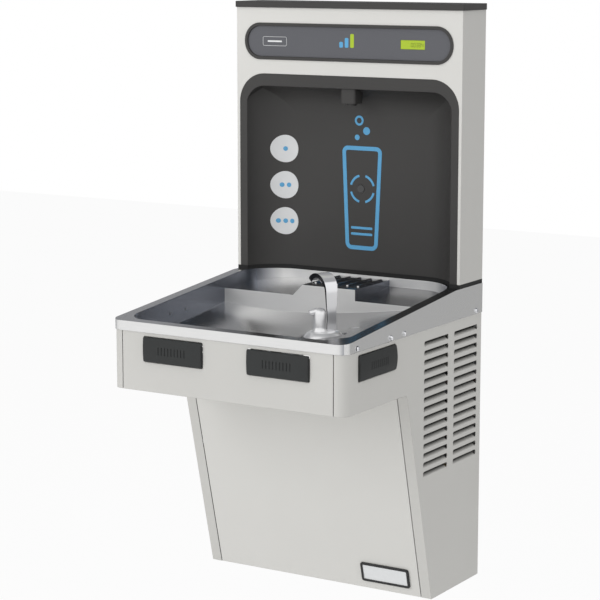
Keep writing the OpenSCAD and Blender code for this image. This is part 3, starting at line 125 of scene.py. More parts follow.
# A material under construction: nodes come from node(), the surface from surface()
class Finish:
    def __init__(self, name):
        self.material = bpy.data.materials.new(name)
        self.material.use_nodes = True
        self.tree = self.material.node_tree
        self.tree.nodes.clear()

    def node(self, kind, settings=None, inputs=None, output=0):
        made = self.tree.nodes.new(kind)
        for key, value in (settings or {}).items():
            setattr(made, key, value)
        for key, value in (inputs or {}).items():
            if isinstance(value, Field):
                self.tree.links.new(value.socket, made.inputs[key])
            else:
                made.inputs[key].default_value = value
        return Field(self, made.outputs[output])

    # Object coordinates, stretched
    def place(self, stretch=(1, 1, 1)):
        spot = self.node("ShaderNodeTexCoord", output="Object")
        return self.node("ShaderNodeMapping", {}, {"Vector": spot, "Scale": stretch})

    # One axis of the place on the piece, kind Object, or of the way its face looks, kind Normal
    def axis(self, kind, letter):
        spot = self.node("ShaderNodeTexCoord", output=kind)
        return self.node("ShaderNodeSeparateXYZ", {}, {"Vector": spot}, letter)

    # From 0 up to most as the value goes from start to end
    def ramp(self, value, start, end, most=1.0):
        return self.node("ShaderNodeMapRange", {"clamp": True}, {
            "Value": value, "From Min": start, "From Max": end, "To Min": 0.0, "To Max": most})

    def noise(self, size, detail=3.0, rough=0.5, stretch=(1, 1, 1)):
        return self.node("ShaderNodeTexNoise", {}, {
            "Vector": self.place(stretch), "Scale": 1 / size, "Detail": detail, "Roughness": rough})

    def mix(self, mask, first, second):
        blend = self.tree.nodes.new("ShaderNodeMix")
        blend.data_type = "RGBA"
        for key, value in (("Factor_Float", mask), ("A_Color", first), ("B_Color", second)):
            socket = next(s for s in blend.inputs if s.identifier == key)
            if isinstance(value, Field):
                self.tree.links.new(value.socket, socket)
            else:
                socket.default_value = value
        return Field(self, next(s for s in blend.outputs if s.identifier == "Result_Color"))

    def bump(self, height, depth, normal=None):
        inputs = {"Height": height, "Distance": depth, "Strength": 1.0}
        if normal:
            inputs["Normal"] = normal
        return self.node("ShaderNodeBump", {}, inputs)

    # Normals that turn round a piece's edges, as on rolled or moulded edges
    def softEdge(self, radius):
        return self.node("ShaderNodeBevel", {"samples": 4}, {"Radius": radius})

    def surface(self, **sockets):
        shader = self.tree.nodes.new("ShaderNodeBsdfPrincipled")
        for key, value in sockets.items():
            socket = shader.inputs[socketNames[key]]
            if isinstance(value, Field):
                self.tree.links.new(value.socket, socket)
            else:
                socket.default_value = value
        out = self.tree.nodes.new("ShaderNodeOutputMaterial")
        self.tree.links.new(shader.outputs[0], out.inputs[0])
        return self.material


socketNames = {
    "colour": "Base Color", "rough": "Roughness", "metal": "Metallic", "normal": "Normal",
    "coat": "Coat Weight", "glow": "Emission Color", "glowPower": "Emission Strength",
    "specular": "Specular IOR Level",
}


# Sheet steel's one paint, the dark and the light of its slow shade changes, in copies by part that
# carry painted light: the tower's and the slope's copies are painted lighter than the cabinet's,
# for the stronger light that falls on them
paintLitByPart = {
    "cabinet": (screen(204, 203, 199), screen(211, 210, 206)),
    "tower": (screen(220, 219, 215), screen(226, 225, 221)),
    "slope": (screen(217, 216, 212), screen(223, 222, 218)),
}
# share of the tower's paint left where its sides take painted shade
towerSideShade = 0.84
facing = 0.8  # a face faces along an axis if its normal has this much of it
# Painted shade in the louvres: its colour, the depth behind the outer face over which it comes in,
# and the y behind which it lies
louvres = {"dark": screen(38, 39, 36), "start": 0.0002, "end": 0.0060, "frontY": -0.30}


# Satin paint with a faint orange peel, and with painted shade by place if one is given
def paintedSteel(name, paint, specular=0.55, shade=None):
    f = Finish(name)
    peel = f.noise(0.0011, 2.0, 0.6)
    colour = f.mix(f.noise(0.18, 2.0), *paint)
    if shade:
        colour = shade(f, colour)
    return f.surface(colour=colour, rough=0.34 + peel * 0.08, specular=specular,
                     normal=f.bump(peel, 0.00002, f.softEdge(0.0011)))


# Painted shade: darker the more a face looks sideways, for the lesser light on the tower's sides
def paintedSideShade(f, colour):
    dark = [part * towerSideShade for part in paintLitByPart["tower"][0][:3]] + [1.0]
    return f.mix(abs(f.axis("Normal", "X")), colour, dark)


# Painted shade over the depth of the louvres, for the shade in the openings and on the slats behind
# the outer face. The panels' front faces and edges stay as they are
def paintedLouvreShade(f, colour):
    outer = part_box("side_panel_right")[1][0]
    depth = f.ramp(abs(f.axis("Object", "X")), outer - louvres["start"], outer - louvres["end"])
    behind = f.axis("Object", "Y") > louvres["frontY"]
    turnedAway = f.axis("Normal", "Y") > -facing
    return f.mix(depth * behind * turnedAway, colour, louvres["dark"])


# Stamped stainless with a fine brushed grain across. It carries painted reflection: darker on level
# faces towards the right and, with a blue tint, on walls inside the rim that look sideways, for the
# dark surroundings those faces mirror. It is less metallic where it looks to the front, so that the
# lamps light those faces bright as painted light
steel = {
    "dark": screen(226, 227, 228), "light": screen(242, 241, 239), "most": 0.9,
    "right": screen(122, 122, 124), "rightX": (-0.14, 0.01), "levelZ": (0.5, 0.9),
    "wall": screen(112, 117, 130), "wallX": (0.35, 0.85), "rimX": 0.2225,
    "frontY": (-0.3, -0.9), "frontMost": 0.65,
}


def stainless():
    f = Finish("brushedStainless")
    grain = f.noise(0.0004, 2.0, 0.6, stretch=(0.012, 1, 1))
    cloud = f.noise(0.09)
    across = f.axis("Object", "X")
    right = f.ramp(across, *steel["rightX"], steel["most"])
    level = f.ramp(f.axis("Normal", "Z"), *steel["levelZ"])
    wall = f.ramp(abs(f.axis("Normal", "X")), *steel["wallX"], steel["most"])
    front = f.ramp(f.axis("Normal", "Y"), *steel["frontY"], steel["frontMost"])
    colour = f.mix(grain, steel["dark"], steel["light"])
    colour = f.mix(right * level, colour, steel["right"])
    colour = f.mix(wall * (abs(across) < steel["rimX"]), colour, steel["wall"])
    return f.surface(colour=colour, rough=0.15 + grain * 0.12 + cloud * 0.05, metal=1 - front,
                     normal=f.bump(grain, 0.000012, f.softEdge(0.0016)))


def chrome():
    f = Finish("chromePlate")
    haze = f.noise(0.02, 4.0)
    return f.surface(colour=screen(232, 233, 236), rough=0.035 + haze * 0.05, metal=1.0,
                     normal=f.softEdge(0.0005))


# Plated castings with a softer shine, as on the bubbler's body
def satinChrome():
    f = Finish("satinChrome")
    haze = f.noise(0.012, 4.0)
    return f.surface(colour=screen(243, 243, 244), rough=0.2 + haze * 0.08,
                     metal=0.55 + haze * 0.1, normal=f.softEdge(0.0006))


# The guard's sheet, turned about Z, with painted reflection: bright and less metallic outside so
# that the lamps light it as painted light, and a painted dark reflection on the edges that face
# across the sheet
def guardChromePaintedReflection(turn):
    f = Finish("guardChromePaintedReflection")
    haze = f.noise(0.02, 4.0)
    faces = f.node("ShaderNodeTexCoord", output="Normal")
    way = (math.sin(math.radians(turn)), math.cos(math.radians(turn)), 0)
    across = f.node("ShaderNodeVectorMath", {"operation": "DOT_PRODUCT"}, {0: faces, 1: way},
                    "Value")
    edge = f.ramp(abs(across), 0.45, 0.8)
    return f.surface(colour=f.mix(edge, screen(244, 244, 246), screen(70, 70, 73)),
                     rough=0.1 + haze * 0.08, metal=0.95 - (1 - edge) * 0.35,
                     normal=f.softEdge(0.0005))


def zincPlate():
    f = Finish("zincPlate")
    spangle = f.node("ShaderNodeTexVoronoi", {}, {"Vector": f.place(), "Scale": 160.0})
    colour = f.mix(spangle, screen(176, 180, 184), screen(205, 208, 212))
    return f.surface(colour=colour, rough=0.32 + spangle * 0.2, metal=1.0,
                     normal=f.softEdge(0.0006))


# Fine-grained dark moulding of the alcove, cap and bezel
def darkPlastic():
    f = Finish("darkMoulding")
    grain = f.noise(0.0006, 3.0, 0.6)
    slow = f.noise(0.15, 2.0)
    colour = f.mix(slow, screen(61, 60, 59), screen(67, 66, 65))
    normal = f.bump(grain, 0.00005, f.softEdge(0.0012))
    return f.surface(colour=colour, rough=0.42 + grain * 0.12, normal=normal, specular=0.4)


# Pebbled black moulding of the push pads
def blackPlastic():
    f = Finish("pebbledBlack")
    pebble = f.node("ShaderNodeTexVoronoi", {}, {"Vector": f.place(), "Scale": 900.0})
    colour = f.mix(pebble, screen(36, 38, 38), screen(46, 48, 48))
    normal = f.bump(pebble, 0.00008, f.softEdge(0.001))
    return f.surface(colour=colour, rough=0.45 + pebble * 0.2, normal=normal, specular=0.45)


def fasciaPlastic():
    f = Finish("fasciaMoulding")
    grain = f.noise(0.0008, 2.0)
    slow = f.noise(0.2, 2.0)
    colour = f.mix(slow, screen(90, 91, 96), screen(97, 98, 103))
    return f.surface(colour=colour, rough=0.4 + grain * 0.1, normal=f.bump(grain, 0.00002))


def plain(name, dark, light, size, rough, metal=0.0, depth=0.00002, edge=0.0006, **more):
    f = Finish(name)
    cloud = f.noise(size, 3.0)
    normal = f.bump(cloud, depth, f.softEdge(edge))
    return f.surface(colour=f.mix(cloud, dark, light), rough=rough + cloud * 0.1, metal=metal,
                     normal=normal, **more)


def makeFinishes():
    return {
        "steel_panel": paintedSteel("cabinetPaint", paintLitByPart["cabinet"]),
        "stainless": stainless(),
        "chrome": chrome(),
        "satin": satinChrome(),
        "zinc": zincPlate(),
        "dark_plastic": darkPlastic(),
        "black_plastic": blackPlastic(),
        "fascia_plastic": fasciaPlastic(),
        "lens_black": plain("lensBlack", screen(12, 12, 13), screen(18, 18, 20), 0.004, 0.08,
                            coat=1.0),
        "display_green": plain("displayGreen", screen(160, 186, 30), screen(170, 194, 40), 0.01,
                               0.3, glow=screen(176, 200, 40), glowPower=0.12, coat=0.2),
        "plate_white": plain("plateWhite", screen(226, 228, 229), screen(236, 237, 238), 0.02,
                             0.3),
        "plate_black": plain("plateBlack", screen(22, 22, 23), screen(32, 32, 33), 0.01, 0.25),
        "rubber": plain("blackRubber", screen(24, 24, 24), screen(34, 34, 34), 0.003, 0.65),
        "brass": plain("plainBrass", screen(190, 160, 92), screen(212, 182, 110), 0.01, 0.25,
                       1.0),
        "copper": plain("drawnCopper", screen(188, 112, 78), screen(214, 138, 102), 0.01, 0.28,
                        1.0),
        "water_tube": plain("whiteTube", screen(226, 226, 220), screen(238, 238, 234), 0.01,
                            0.4),
        "foam": plain("tankFoam", screen(212, 204, 176), screen(232, 226, 204), 0.004, 0.85,
                      depth=0.0004),
        "black_enamel": plain("blackEnamel", screen(22, 22, 24), screen(34, 34, 37), 0.02,
                              0.22),
        "fin_aluminium": plain("millAluminium", screen(186, 188, 192), screen(210, 212, 215),
                               0.01, 0.35, 1.0),
        "pcb_box": plain("boxMoulding", screen(38, 39, 41), screen(50, 51, 53), 0.004, 0.5),
        "coil_blue": plain("printBlue", screen(92, 168, 216), screen(102, 178, 224), 0.006,
                           0.45),
    }


finishes = makeFinishes()


# A few panels have a finish of their own, the other nodes that of their slot. The own finishes are
# copies of the one paint with painted light and shade: lighter on the tower and the slope, painted
# shade on the tower's sides and in the louvres
def dressNodes():
    louvred = paintedSteel("louvredPaintShaded", paintLitByPart["cabinet"], 0.5, paintedLouvreShade)
    own = {
        "side_panel_left": louvred,
        "side_panel_right": louvred,
        "tower_shell": paintedSteel("towerPaintLitAndShaded", paintLitByPart["tower"], shade=paintedSideShade),
        "lower_front_panel": paintedSteel("slopePaintLit", paintLitByPart["slope"]),
    }
    for part in frame["record"]["subparts"]:
        for holder in frame["nodes"][part["node"]].material_slots:
            holder.material = own.get(part["node"], finishes[part["material_slot"]])


dressNodes()
print("CAD nodes finished:", len(finishes), "finishes")


# Modelling steps. A new piece starts alone, at its place, with its transforms applied
def begin(name, make, scale=(1, 1, 1), **settings):
    bpy.ops.object.select_all(action="DESELECT")
    make(**settings)
    piece = bpy.context.object
    piece.name = name
    piece.scale = scale
    bpy.ops.object.transform_apply(location=True, rotation=True, scale=True)
    return piece


# Leaves the piece in edit mode with just those faces selected whose centre and normal pass the test
def pickFaces(piece, test):
    bpy.ops.object.mode_set(mode="OBJECT")
    bpy.context.tool_settings.mesh_select_mode = (False, False, True)
    for part in list(piece.data.vertices) + list(piece.data.edges):
        part.select = False
    for face in piece.data.polygons:
        face.select = test(face.center, face.normal)
    bpy.ops.object.mode_set(mode="EDIT")


def pickPoints(piece, test):
    bpy.ops.object.mode_set(mode="OBJECT")
    bpy.context.tool_settings.mesh_select_mode = (True, False, False)
    for part in list(piece.data.edges) + list(piece.data.polygons):
        part.select = False
    for vertex in piece.data.vertices:
        vertex.select = test(vertex.co)
    bpy.ops.object.mode_set(mode="EDIT")


def pickAll(piece):
    pickFaces(piece, lambda centre, normal: True)
    bpy.ops.mesh.select_all(action="SELECT")


def extrude(x, y, z):
    bpy.ops.mesh.extrude_region_move(TRANSFORM_OT_translate={"value": (x, y, z)})


# Leaves edit mode, with just these pieces selected and the first one active
def choose(pieces):
    bpy.ops.object.mode_set(mode="OBJECT")
    bpy.ops.object.select_all(action="DESELECT")
    for piece in pieces:
        piece.select_set(True)
    bpy.context.view_layer.objects.active = pieces[0]


def modify(piece, kind, **settings):
    choose([piece])
    step = piece.modifiers.new(kind.lower(), kind)
    for key, value in settings.items():
        setattr(step, key, value)
    bpy.ops.object.modifier_apply(modifier=step.name)


def smooth(piece, angle):
    choose([piece])
    bpy.ops.object.shade_smooth_by_angle(angle=math.radians(angle))


# A copy with its own mesh, turned about the world's origin and then moved
def copyOf(piece, name, move=(0, 0, 0), turn=(0, 0, 0)):
    twin = piece.copy()
    twin.data = piece.data.copy()
    twin.name = name
    bpy.context.collection.objects.link(twin)
    choose([twin])
    twin.rotation_euler = [math.radians(a) for a in turn]
    twin.location = move
    bpy.ops.object.transform_apply(location=True, rotation=True, scale=True)
    return twin


def joined(pieces, name):
    choose(pieces)
    if len(pieces) > 1:
        bpy.ops.object.join()
    pieces[0].name = name
    return pieces[0]


# Rings of (height, radius) about an upright axis, closed at both ends
def turned(name, centre, rings, sides):
    height, radius = rings[0]
    piece = begin(name, bpy.ops.mesh.primitive_circle_add, vertices=sides, radius=radius,
                  fill_type="NGON", location=(centre[0], centre[1], height))
    pickAll(piece)
    for upper, wider in rings[1:]:
        extrude(0, 0, upper - height)
        bpy.ops.transform.resize(value=(wider / radius, wider / radius, 1),
                                 center_override=(centre[0], centre[1], upper))
        height, radius = upper, wider
    bpy.ops.mesh.select_all(action="SELECT")
    bpy.ops.mesh.normals_make_consistent(inside=False)
    bpy.ops.object.mode_set(mode="OBJECT")
    return piece


slices = 20  # strips of a shape that follows a curved wall


# A thin printed shape that faces the user, filled or with a stroke along its edge. A stroke with a
# gap is open above, below and at both sides. If a wall node is given, the shape lies on it
def flatShape(name, place, size, sides=4, rounding=0.0, stroke=0.0, taper=1.0, gap=0.0, wall=None,
              height=0.00015):
    make = bpy.ops.mesh.primitive_circle_add
    shape = {"vertices": sides, "radius": 0.5, "fill_type": "NGON"}
    if sides == 4:
        make, shape = bpy.ops.mesh.primitive_plane_add, {"size": 1}
    piece = begin(name, make, scale=(size[0], size[1], 1), location=place,
                  rotation=(math.radians(90), 0, 0), **shape)
    if taper != 1.0:
        pickPoints(piece, lambda p: p.z < place[2])
        bpy.ops.transform.resize(value=(taper, 1, 1), center_override=place)
    if rounding:
        pickPoints(piece, lambda p: True)
        bpy.ops.mesh.bevel(offset=rounding, segments=7, affect="VERTICES")
    if stroke:
        pickAll(piece)
        bpy.ops.mesh.inset(thickness=stroke)
        bpy.ops.mesh.delete(type="FACE")
    if gap:
        pickFaces(piece, lambda c, n: min(abs(c.x - place[0]), abs(c.z - place[2])) < gap)
        bpy.ops.mesh.delete(type="FACE")
    if wall:
        for cut in range(1 - slices // 2, slices // 2):
            pickAll(piece)
            bpy.ops.mesh.bisect(plane_co=(place[0] + cut * size[0] / slices, 0, 0),
                                plane_no=(1, 0, 0))
        modify(piece, "SHRINKWRAP", target=frame["nodes"][wall], wrap_method="PROJECT",
               use_project_y=True, use_negative_direction=False, use_positive_direction=True,
               wrap_mode="ABOVE_SURFACE", offset=0.0001)
    modify(piece, "SOLIDIFY", thickness=height, offset=1.0)
    return piece


def hand(piece, slot, body="cabinet", node=None, finish=None):
    piece.data.materials.clear()
    piece.data.materials.append(finish or finishes[slot])
    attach(piece, body)
    if node:
        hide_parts(node)


# Bubbler: cone flange and body with its spout, each from rings of (height, radius)
bubbler = {
    "x": 0.123, "y": -0.364, "bodyX": 0.1157,
    "flange": [(0.0500, 0.0332), (0.0508, 0.0335), (0.0516, 0.0332), (0.0585, 0.0262),
               (0.0594, 0.0251), (0.0600, 0.0238), (0.0601, 0.0140)],
    "body": [(0.0598, 0.0128), (0.0606, 0.0127), (0.0622, 0.0114), (0.0645, 0.0107),
             (0.0670, 0.0105), (0.0880, 0.0105), (0.0900, 0.0102), (0.0925, 0.0093),
             (0.0948, 0.0077), (0.0964, 0.0056), (0.0974, 0.0030), (0.0977, 0.0008)],
    "spout": [(0.0030, 0.0052), (0.0150, 0.0050), (0.0172, 0.0049), (0.0178, 0.0044),
              (0.0178, 0.0032), (0.0120, 0.0030)],
    "spoutZ": 0.0935, "spoutTurn": (0, -103, 42),
}


def makeBubbler():
    b = bubbler
    flange = turned("bubblerFlange", (b["x"], b["y"]), b["flange"], 64)
    smooth(flange, 28)
    hand(flange, "chrome", node="bubbler_base", finish=finishes["satin"])

    body = turned("bubblerBody", (b["bodyX"], b["y"]), b["body"], 56)
    level = turned("bubblerSpoutLevel", (0, 0), b["spout"], 32)
    spout = copyOf(level, "bubblerSpout", (b["bodyX"], b["y"], b["spoutZ"]), b["spoutTurn"])
    bpy.data.objects.remove(level)
    joined([body, spout], "bubblerBody")
    smooth(body, 40)
    hand(body, "chrome", node="bubbler_body", finish=finishes["satin"])


# The guard, a channel of sheet that rises from its foot and bends over the spout. Its shares are
# of the way from foot to tip: a waist above the foot, a round tip, and lips that grow deeper
guard = {
    "base": 0.0600, "centre": (0.1150, -0.364, 0.1240), "radius": 0.0277, "sweep": 154,
    "firstRise": 0.002, "rises": 10, "turns": 20, "footWidth": 0.0190, "topWidth": 0.0265,
    "waist": 0.13, "waistAt": 0.17, "waistReach": 0.1, "tipFrom": 0.93, "tipLong": 0.07,
    "tipRound": 0.8, "lip": 0.0110, "footLip": 0.14, "lipGrowth": 1.6, "sheet": 0.0012,
    "edge": 0.00045, "near": 0.0001, "stand": (0.1054, -0.339), "turn": -24.8,
}


# Width of the sheet at a share of the way, over that of the foot
def guardWidth(share):
    g = guard
    ease = share * share * (3 - 2 * share)
    width = 1 + (g["topWidth"] / g["footWidth"] - 1) * ease
    width -= g["waist"] * math.exp(-((share - g["waistAt"]) / g["waistReach"]) ** 2)
    if share > g["tipFrom"]:
        width *= math.sqrt(1 - ((share - g["tipFrom"]) / g["tipLong"] * g["tipRound"]) ** 2)
    return width


def guardLip(share):
    least = guard["footLip"]
    return guard["lip"] * (least + (1 - least) * share ** guard["lipGrowth"])


def makeGuard():
    g = guard
    cx, cy, cz = g["centre"]
    straight = cz - g["base"]
    total = straight + g["radius"] * math.radians(g["sweep"])
    piece = begin("guardStraight", bpy.ops.mesh.primitive_cube_add, size=1,
                  location=(cx + g["radius"] - g["lip"] / 2, cy, g["base"] + g["firstRise"] / 2),
                  scale=(g["lip"], g["footWidth"], g["firstRise"]))
    pickFaces(piece, lambda c, n: abs(n.z) > facing or n.x < -facing)
    bpy.ops.mesh.delete(type="FACE")
    pickPoints(piece, lambda p: p.z > g["base"] + g["firstRise"] / 2)
    for step in range(g["rises"]):
        extrude(0, 0, (straight - g["firstRise"]) / g["rises"])
    bpy.ops.mesh.spin(steps=g["turns"], angle=math.radians(g["sweep"]), center=g["centre"],
                      axis=(0, 1, 0))
    bpy.ops.object.mode_set(mode="OBJECT")

    # Length along the sheet from the foot
    def along(p):
        if p.z < cz - g["near"] / 10:
            return p.z - g["base"]
        return straight + g["radius"] * math.atan2(p.z - cz, p.x - cx)

    def atMark(p):
        return abs(along(p) - mark) < g["near"] * 2

    def onLip(p):
        out = p.x - cx if upright else math.hypot(p.x - cx, p.z - cz)
        return atMark(p) and out < g["radius"] - g["lip"] / 2

    marks = sorted({round(along(v.co), 5) for v in piece.data.vertices})
    marks = [m for i, m in enumerate(marks) if i == 0 or m - marks[i - 1] > g["near"]]
    for mark in marks:
        share = min(1, mark / total)
        upright = mark <= straight + g["near"] / 10
        pickPoints(piece, atMark)
        bpy.ops.transform.resize(value=(1, guardWidth(share), 1), center_override=g["centre"])
        shrink = (g["radius"] - guardLip(share)) / (g["radius"] - g["lip"])
        pickPoints(piece, onLip)
        bpy.ops.transform.resize(value=(shrink, 1, 1 if upright else shrink),
                                 center_override=g["centre"])
    pickAll(piece)
    bpy.ops.mesh.normals_make_consistent(inside=False)
    modify(piece, "SOLIDIFY", thickness=g["sheet"], offset=-1.0)
    modify(piece, "BEVEL", width=g["edge"], segments=2, limit_method="ANGLE",
           angle_limit=math.radians(40))
    modify(piece, "SUBSURF", levels=2, render_levels=2)

    # Turned about Z, with the arc's middle at its stand
    angle = math.radians(g["turn"])
    turnedX = cx * math.cos(angle) - cy * math.sin(angle)
    turnedY = cx * math.sin(angle) + cy * math.cos(angle)
    move = (g["stand"][0] - turnedX, g["stand"][1] - turnedY, 0)
    placed = copyOf(piece, "bubblerGuard", move, (0, 0, g["turn"]))
    bpy.data.objects.remove(piece)
    smooth(placed, 50)
    hand(placed, "chrome", node="bubbler_hood", finish=guardChromePaintedReflection(-g["turn"]))


makeBubbler()
makeGuard()
print("bubbler modelled")


# Push pads: crowned mouldings with rounded edges and a row of sunk grip strokes
pads = {
    "height": 0.042, "thick": 0.0060, "edge": 0.0022, "crownCuts": 5, "z": 0.019,
    "strokes": 9, "strokePitch": 0.0065, "strokeWidth": 0.0019, "strokeTall": 0.0130,
    "sunk": 0.0009, "near": 0.00002,
    "front": {"length": 0.117, "crown": 0.0014, "x": 0.1025, "face": -0.477},
    "side": {"length": 0.120, "crown": 0.0028, "y": -0.370, "face": 0.2325},
}


# A pad that faces -Y with its face's edge at y = 0
def makePad(length, crown):
    half = pads["height"] / 2
    piece = begin("padModel", bpy.ops.mesh.primitive_cube_add, size=1,
                  location=(0, pads["thick"] / 2, 0), scale=(length, pads["thick"], pads["height"]))
    modify(piece, "BEVEL", width=pads["edge"], segments=4, limit_method="ANGLE")
    cuts = pads["crownCuts"]
    levels = [half * cut / cuts for cut in range(1 - cuts, cuts)]
    levels += [-pads["strokeTall"] / 2, pads["strokeTall"] / 2]
    for level in levels:
        pickAll(piece)
        bpy.ops.mesh.bisect(plane_co=(0, 0, level), plane_no=(0, 0, 1))
    count = pads["strokes"]
    strokes = [(i - (count - 1) / 2) * pads["strokePitch"] for i in range(count)]
    for middle in strokes:
        for edge in (-1, 1):
            pickAll(piece)
            bpy.ops.mesh.bisect(plane_co=(middle + edge * pads["strokeWidth"] / 2, 0, 0),
                                plane_no=(1, 0, 0))
    bpy.ops.object.mode_set(mode="OBJECT")
    for level in sorted({round(v.co.z, 5) for v in piece.data.vertices}):
        pickPoints(piece, lambda p: p.y < pads["thick"] / 2 and abs(p.z - level) < pads["near"])
        bpy.ops.transform.translate(value=(0, -crown * (1 - (level / half) ** 2), 0))
    pickFaces(piece, lambda c, n: n.y < -facing and abs(c.z) < pads["strokeTall"] / 2 and min(
        abs(c.x - middle) for middle in strokes) < pads["strokeWidth"] / 2)
    extrude(0, pads["sunk"], 0)
    smooth(piece, 30)
    return piece


def makePads():
    front, side = pads["front"], pads["side"]
    model = makePad(front["length"], front["crown"])
    for name, node, way in (("frontPadLeft", "front_pad_left", -1),
                            ("frontPadRight", "front_pad_right", 1)):
        pad = copyOf(model, name, (way * front["x"], front["face"] + front["crown"], pads["z"]))
        hand(pad, "black_plastic", "front_bar", node)
    bpy.data.objects.remove(model)
    model = makePad(side["length"], side["crown"])
    for name, node, body, way in (("sidePadRight", "side_pad_right", "side_push_right", 1),
                                  ("sidePadLeft", "side_pad_left", "side_push_left", -1)):
        place = (way * (side["face"] - side["crown"]), side["y"], pads["z"])
        pad = copyOf(model, name, place, (0, 0, 90 * way))
        hand(pad, "black_plastic", body, node)
    bpy.data.objects.remove(model)


makePads()
print("push pads modelled")


def makeSprings():
    node = frame["nodes"]["bar_springs"]
    coils = node.copy()
    coils.data = node.data.copy()
    coils.name = "returnSprings"
    for key in list(coils.keys()):
        del coils[key]
    coils.parent = None
    coils.matrix_world = node.matrix_world
    bpy.context.collection.objects.link(coils)
    choose([coils])
    bpy.ops.object.transform_apply(location=True, rotation=True, scale=True)
    pickAll(coils)
    bpy.ops.mesh.remove_doubles(threshold=0.00001)
    smooth(coils, 50)
    hand(coils, "zinc", "front_bar", "bar_springs")
    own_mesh(coils)


makeSprings()


# Pan-head screws on the basin's sides, with a cross recess. Each stands at a turn of its own
screws = {
    "rings": [(0.0, 0.00475), (0.0008, 0.00475), (0.0015, 0.00455), (0.0021, 0.0041),
              (0.0026, 0.0033), (0.0029, 0.0021), (0.0030, 0.0008)],
    "x": 0.2285, "z": 0.053, "along": (-0.435, -0.328, -0.281, -0.023),
    "slot": (0.0046, 0.0009), "slotTall": 0.0030, "slotZ": (0.0030, 0.00301),
    "twist": 20, "twistPerMetre": 900,
}


def makeScrews():
    head = turned("screwHead", (0, 0), screws["rings"], 28)
    for size, z in zip((screws["slot"], screws["slot"][::-1]), screws["slotZ"]):
        cutter = begin("screwCutter", bpy.ops.mesh.primitive_cube_add, size=1, location=(0, 0, z),
                       scale=(*size, screws["slotTall"]))
        modify(head, "BOOLEAN", operation="DIFFERENCE", object=cutter, solver="EXACT")
        bpy.data.objects.remove(cutter)
    smooth(head, 32)
    heads = []
    for way in (1, -1):
        for y in screws["along"]:
            twist = screws["twist"] * way + y * screws["twistPerMetre"]
            heads.append(copyOf(head, "basinScrew", (way * screws["x"], y, screws["z"]),
                                (twist, 90 * way, 0)))
    bpy.data.objects.remove(head)
    hand(joined(heads, "basinScrewHeads"), "chrome", node="basin_screws")


makeScrews()
print("screws modelled")


# Counter: five seven-stroke digits in the right half of the green window
counter = {"right": 0.1508, "z": 0.5133, "y": -0.0837, "tall": 0.0066, "wide": 0.0032,
           "pitch": 0.0050, "stroke": 0.00062, "strokeLong": 0.92, "number": "00384"}
strokesOf = {"0": "abcdef", "3": "abcdg", "8": "abcdefg", "4": "bcfg"}


def makeCounter():
    c = counter
    half = c["tall"] / 2
    flat = flatShape("strokeFlat", (0, 0, 0), (c["wide"] * c["strokeLong"], c["stroke"]), 6)
    upright = copyOf(flat, "strokeUpright", (0, 0, 0), (0, 90, 0))
    spots = {"a": (0, half, flat), "g": (0, 0, flat), "d": (0, -half, flat),
             "b": (1, half / 2, upright), "c": (1, -half / 2, upright),
             "e": (-1, -half / 2, upright), "f": (-1, half / 2, upright)}
    parts = []
    for place, figure in enumerate(reversed(c["number"])):
        x = c["right"] - place * c["pitch"] - c["wide"] / 2
        for letter in strokesOf[figure]:
            side, lift, model = spots[letter]
            parts.append(copyOf(model, "stroke", (x + side * c["wide"] / 2, c["y"], c["z"] + lift)))
    for model in (flat, upright):
        bpy.data.objects.remove(model)
    hand(joined(parts, "counterDigits"), "plate_black")


makeCounter()
print("counter modelled")


# Printed signs of a plain design: a tumbler with rising bubbles and a ring round the lens, three
# discs with one to three dots, and an empty frame and level bars on the fascia
wallY = -0.032
fasciaY = -0.0843
wallSigns = {
    "tumbler": {"place": (0.002, wallY, 0.2365), "size": (0.082, 0.186), "rounding": 0.012,
                "stroke": 0.0075, "taper": 0.80},
    "lensRing": {"place": (0.003, wallY, 0.2535), "size": (0.052, 0.052), "sides": 48,
                 "stroke": 0.0042, "gap": 0.0065},
    "bubbleLow": {"place": (-0.008, wallY, 0.345), "size": (0.010, 0.010), "sides": 24},
    "bubbleMiddle": {"place": (0.011, wallY, 0.357), "size": (0.014, 0.014), "sides": 28},
    "bubbleHigh": {"place": (-0.004, wallY, 0.375), "size": (0.018, 0.018), "sides": 32,
                   "stroke": 0.004},
    "waterLow": {"place": (0.002, wallY, 0.172), "size": (0.044, 0.0045), "rounding": 0.0018},
    "waterHigh": {"place": (0.002, wallY, 0.183), "size": (0.044, 0.0045), "rounding": 0.0018},
}
discs = {"x": -0.156, "y": -0.08, "levels": (0.318, 0.252, 0.186), "size": (0.050, 0.050),
         "dot": (0.0085, 0.0085), "dotPitch": 0.0125, "dotHeight": 0.00032}
badge = {"place": (-0.148, fasciaY, 0.5135), "size": (0.050, 0.0165), "rounding": 0.003,
         "stroke": 0.0007, "bar": (0.030, 0.0030), "barRounding": 0.0012}
bars = {"foot": 0.5055, "wide": 0.0075, "rounding": 0.0022,
        "low": (-0.011, 0.010), "middle": (0.0, 0.017), "high": (0.011, 0.024)}


def makeDiscs():
    plates, dots = [], []
    for step, z in enumerate(discs["levels"]):
        plates.append(flatShape("stepDisc", (discs["x"], discs["y"], z), discs["size"], 48,
                                wall="alcove_liner"))
        for dot in range(step + 1):
            x = discs["x"] + (dot - step / 2) * discs["dotPitch"]
            dots.append(flatShape("stepDot", (x, discs["y"], z), discs["dot"], 24,
                                  wall="alcove_liner", height=discs["dotHeight"]))
    return plates, dots


def makeBar(key):
    x, tall = bars[key]
    return flatShape("levelBar", (x, fasciaY, bars["foot"] + tall / 2), (bars["wide"], tall),
                     rounding=bars["rounding"])


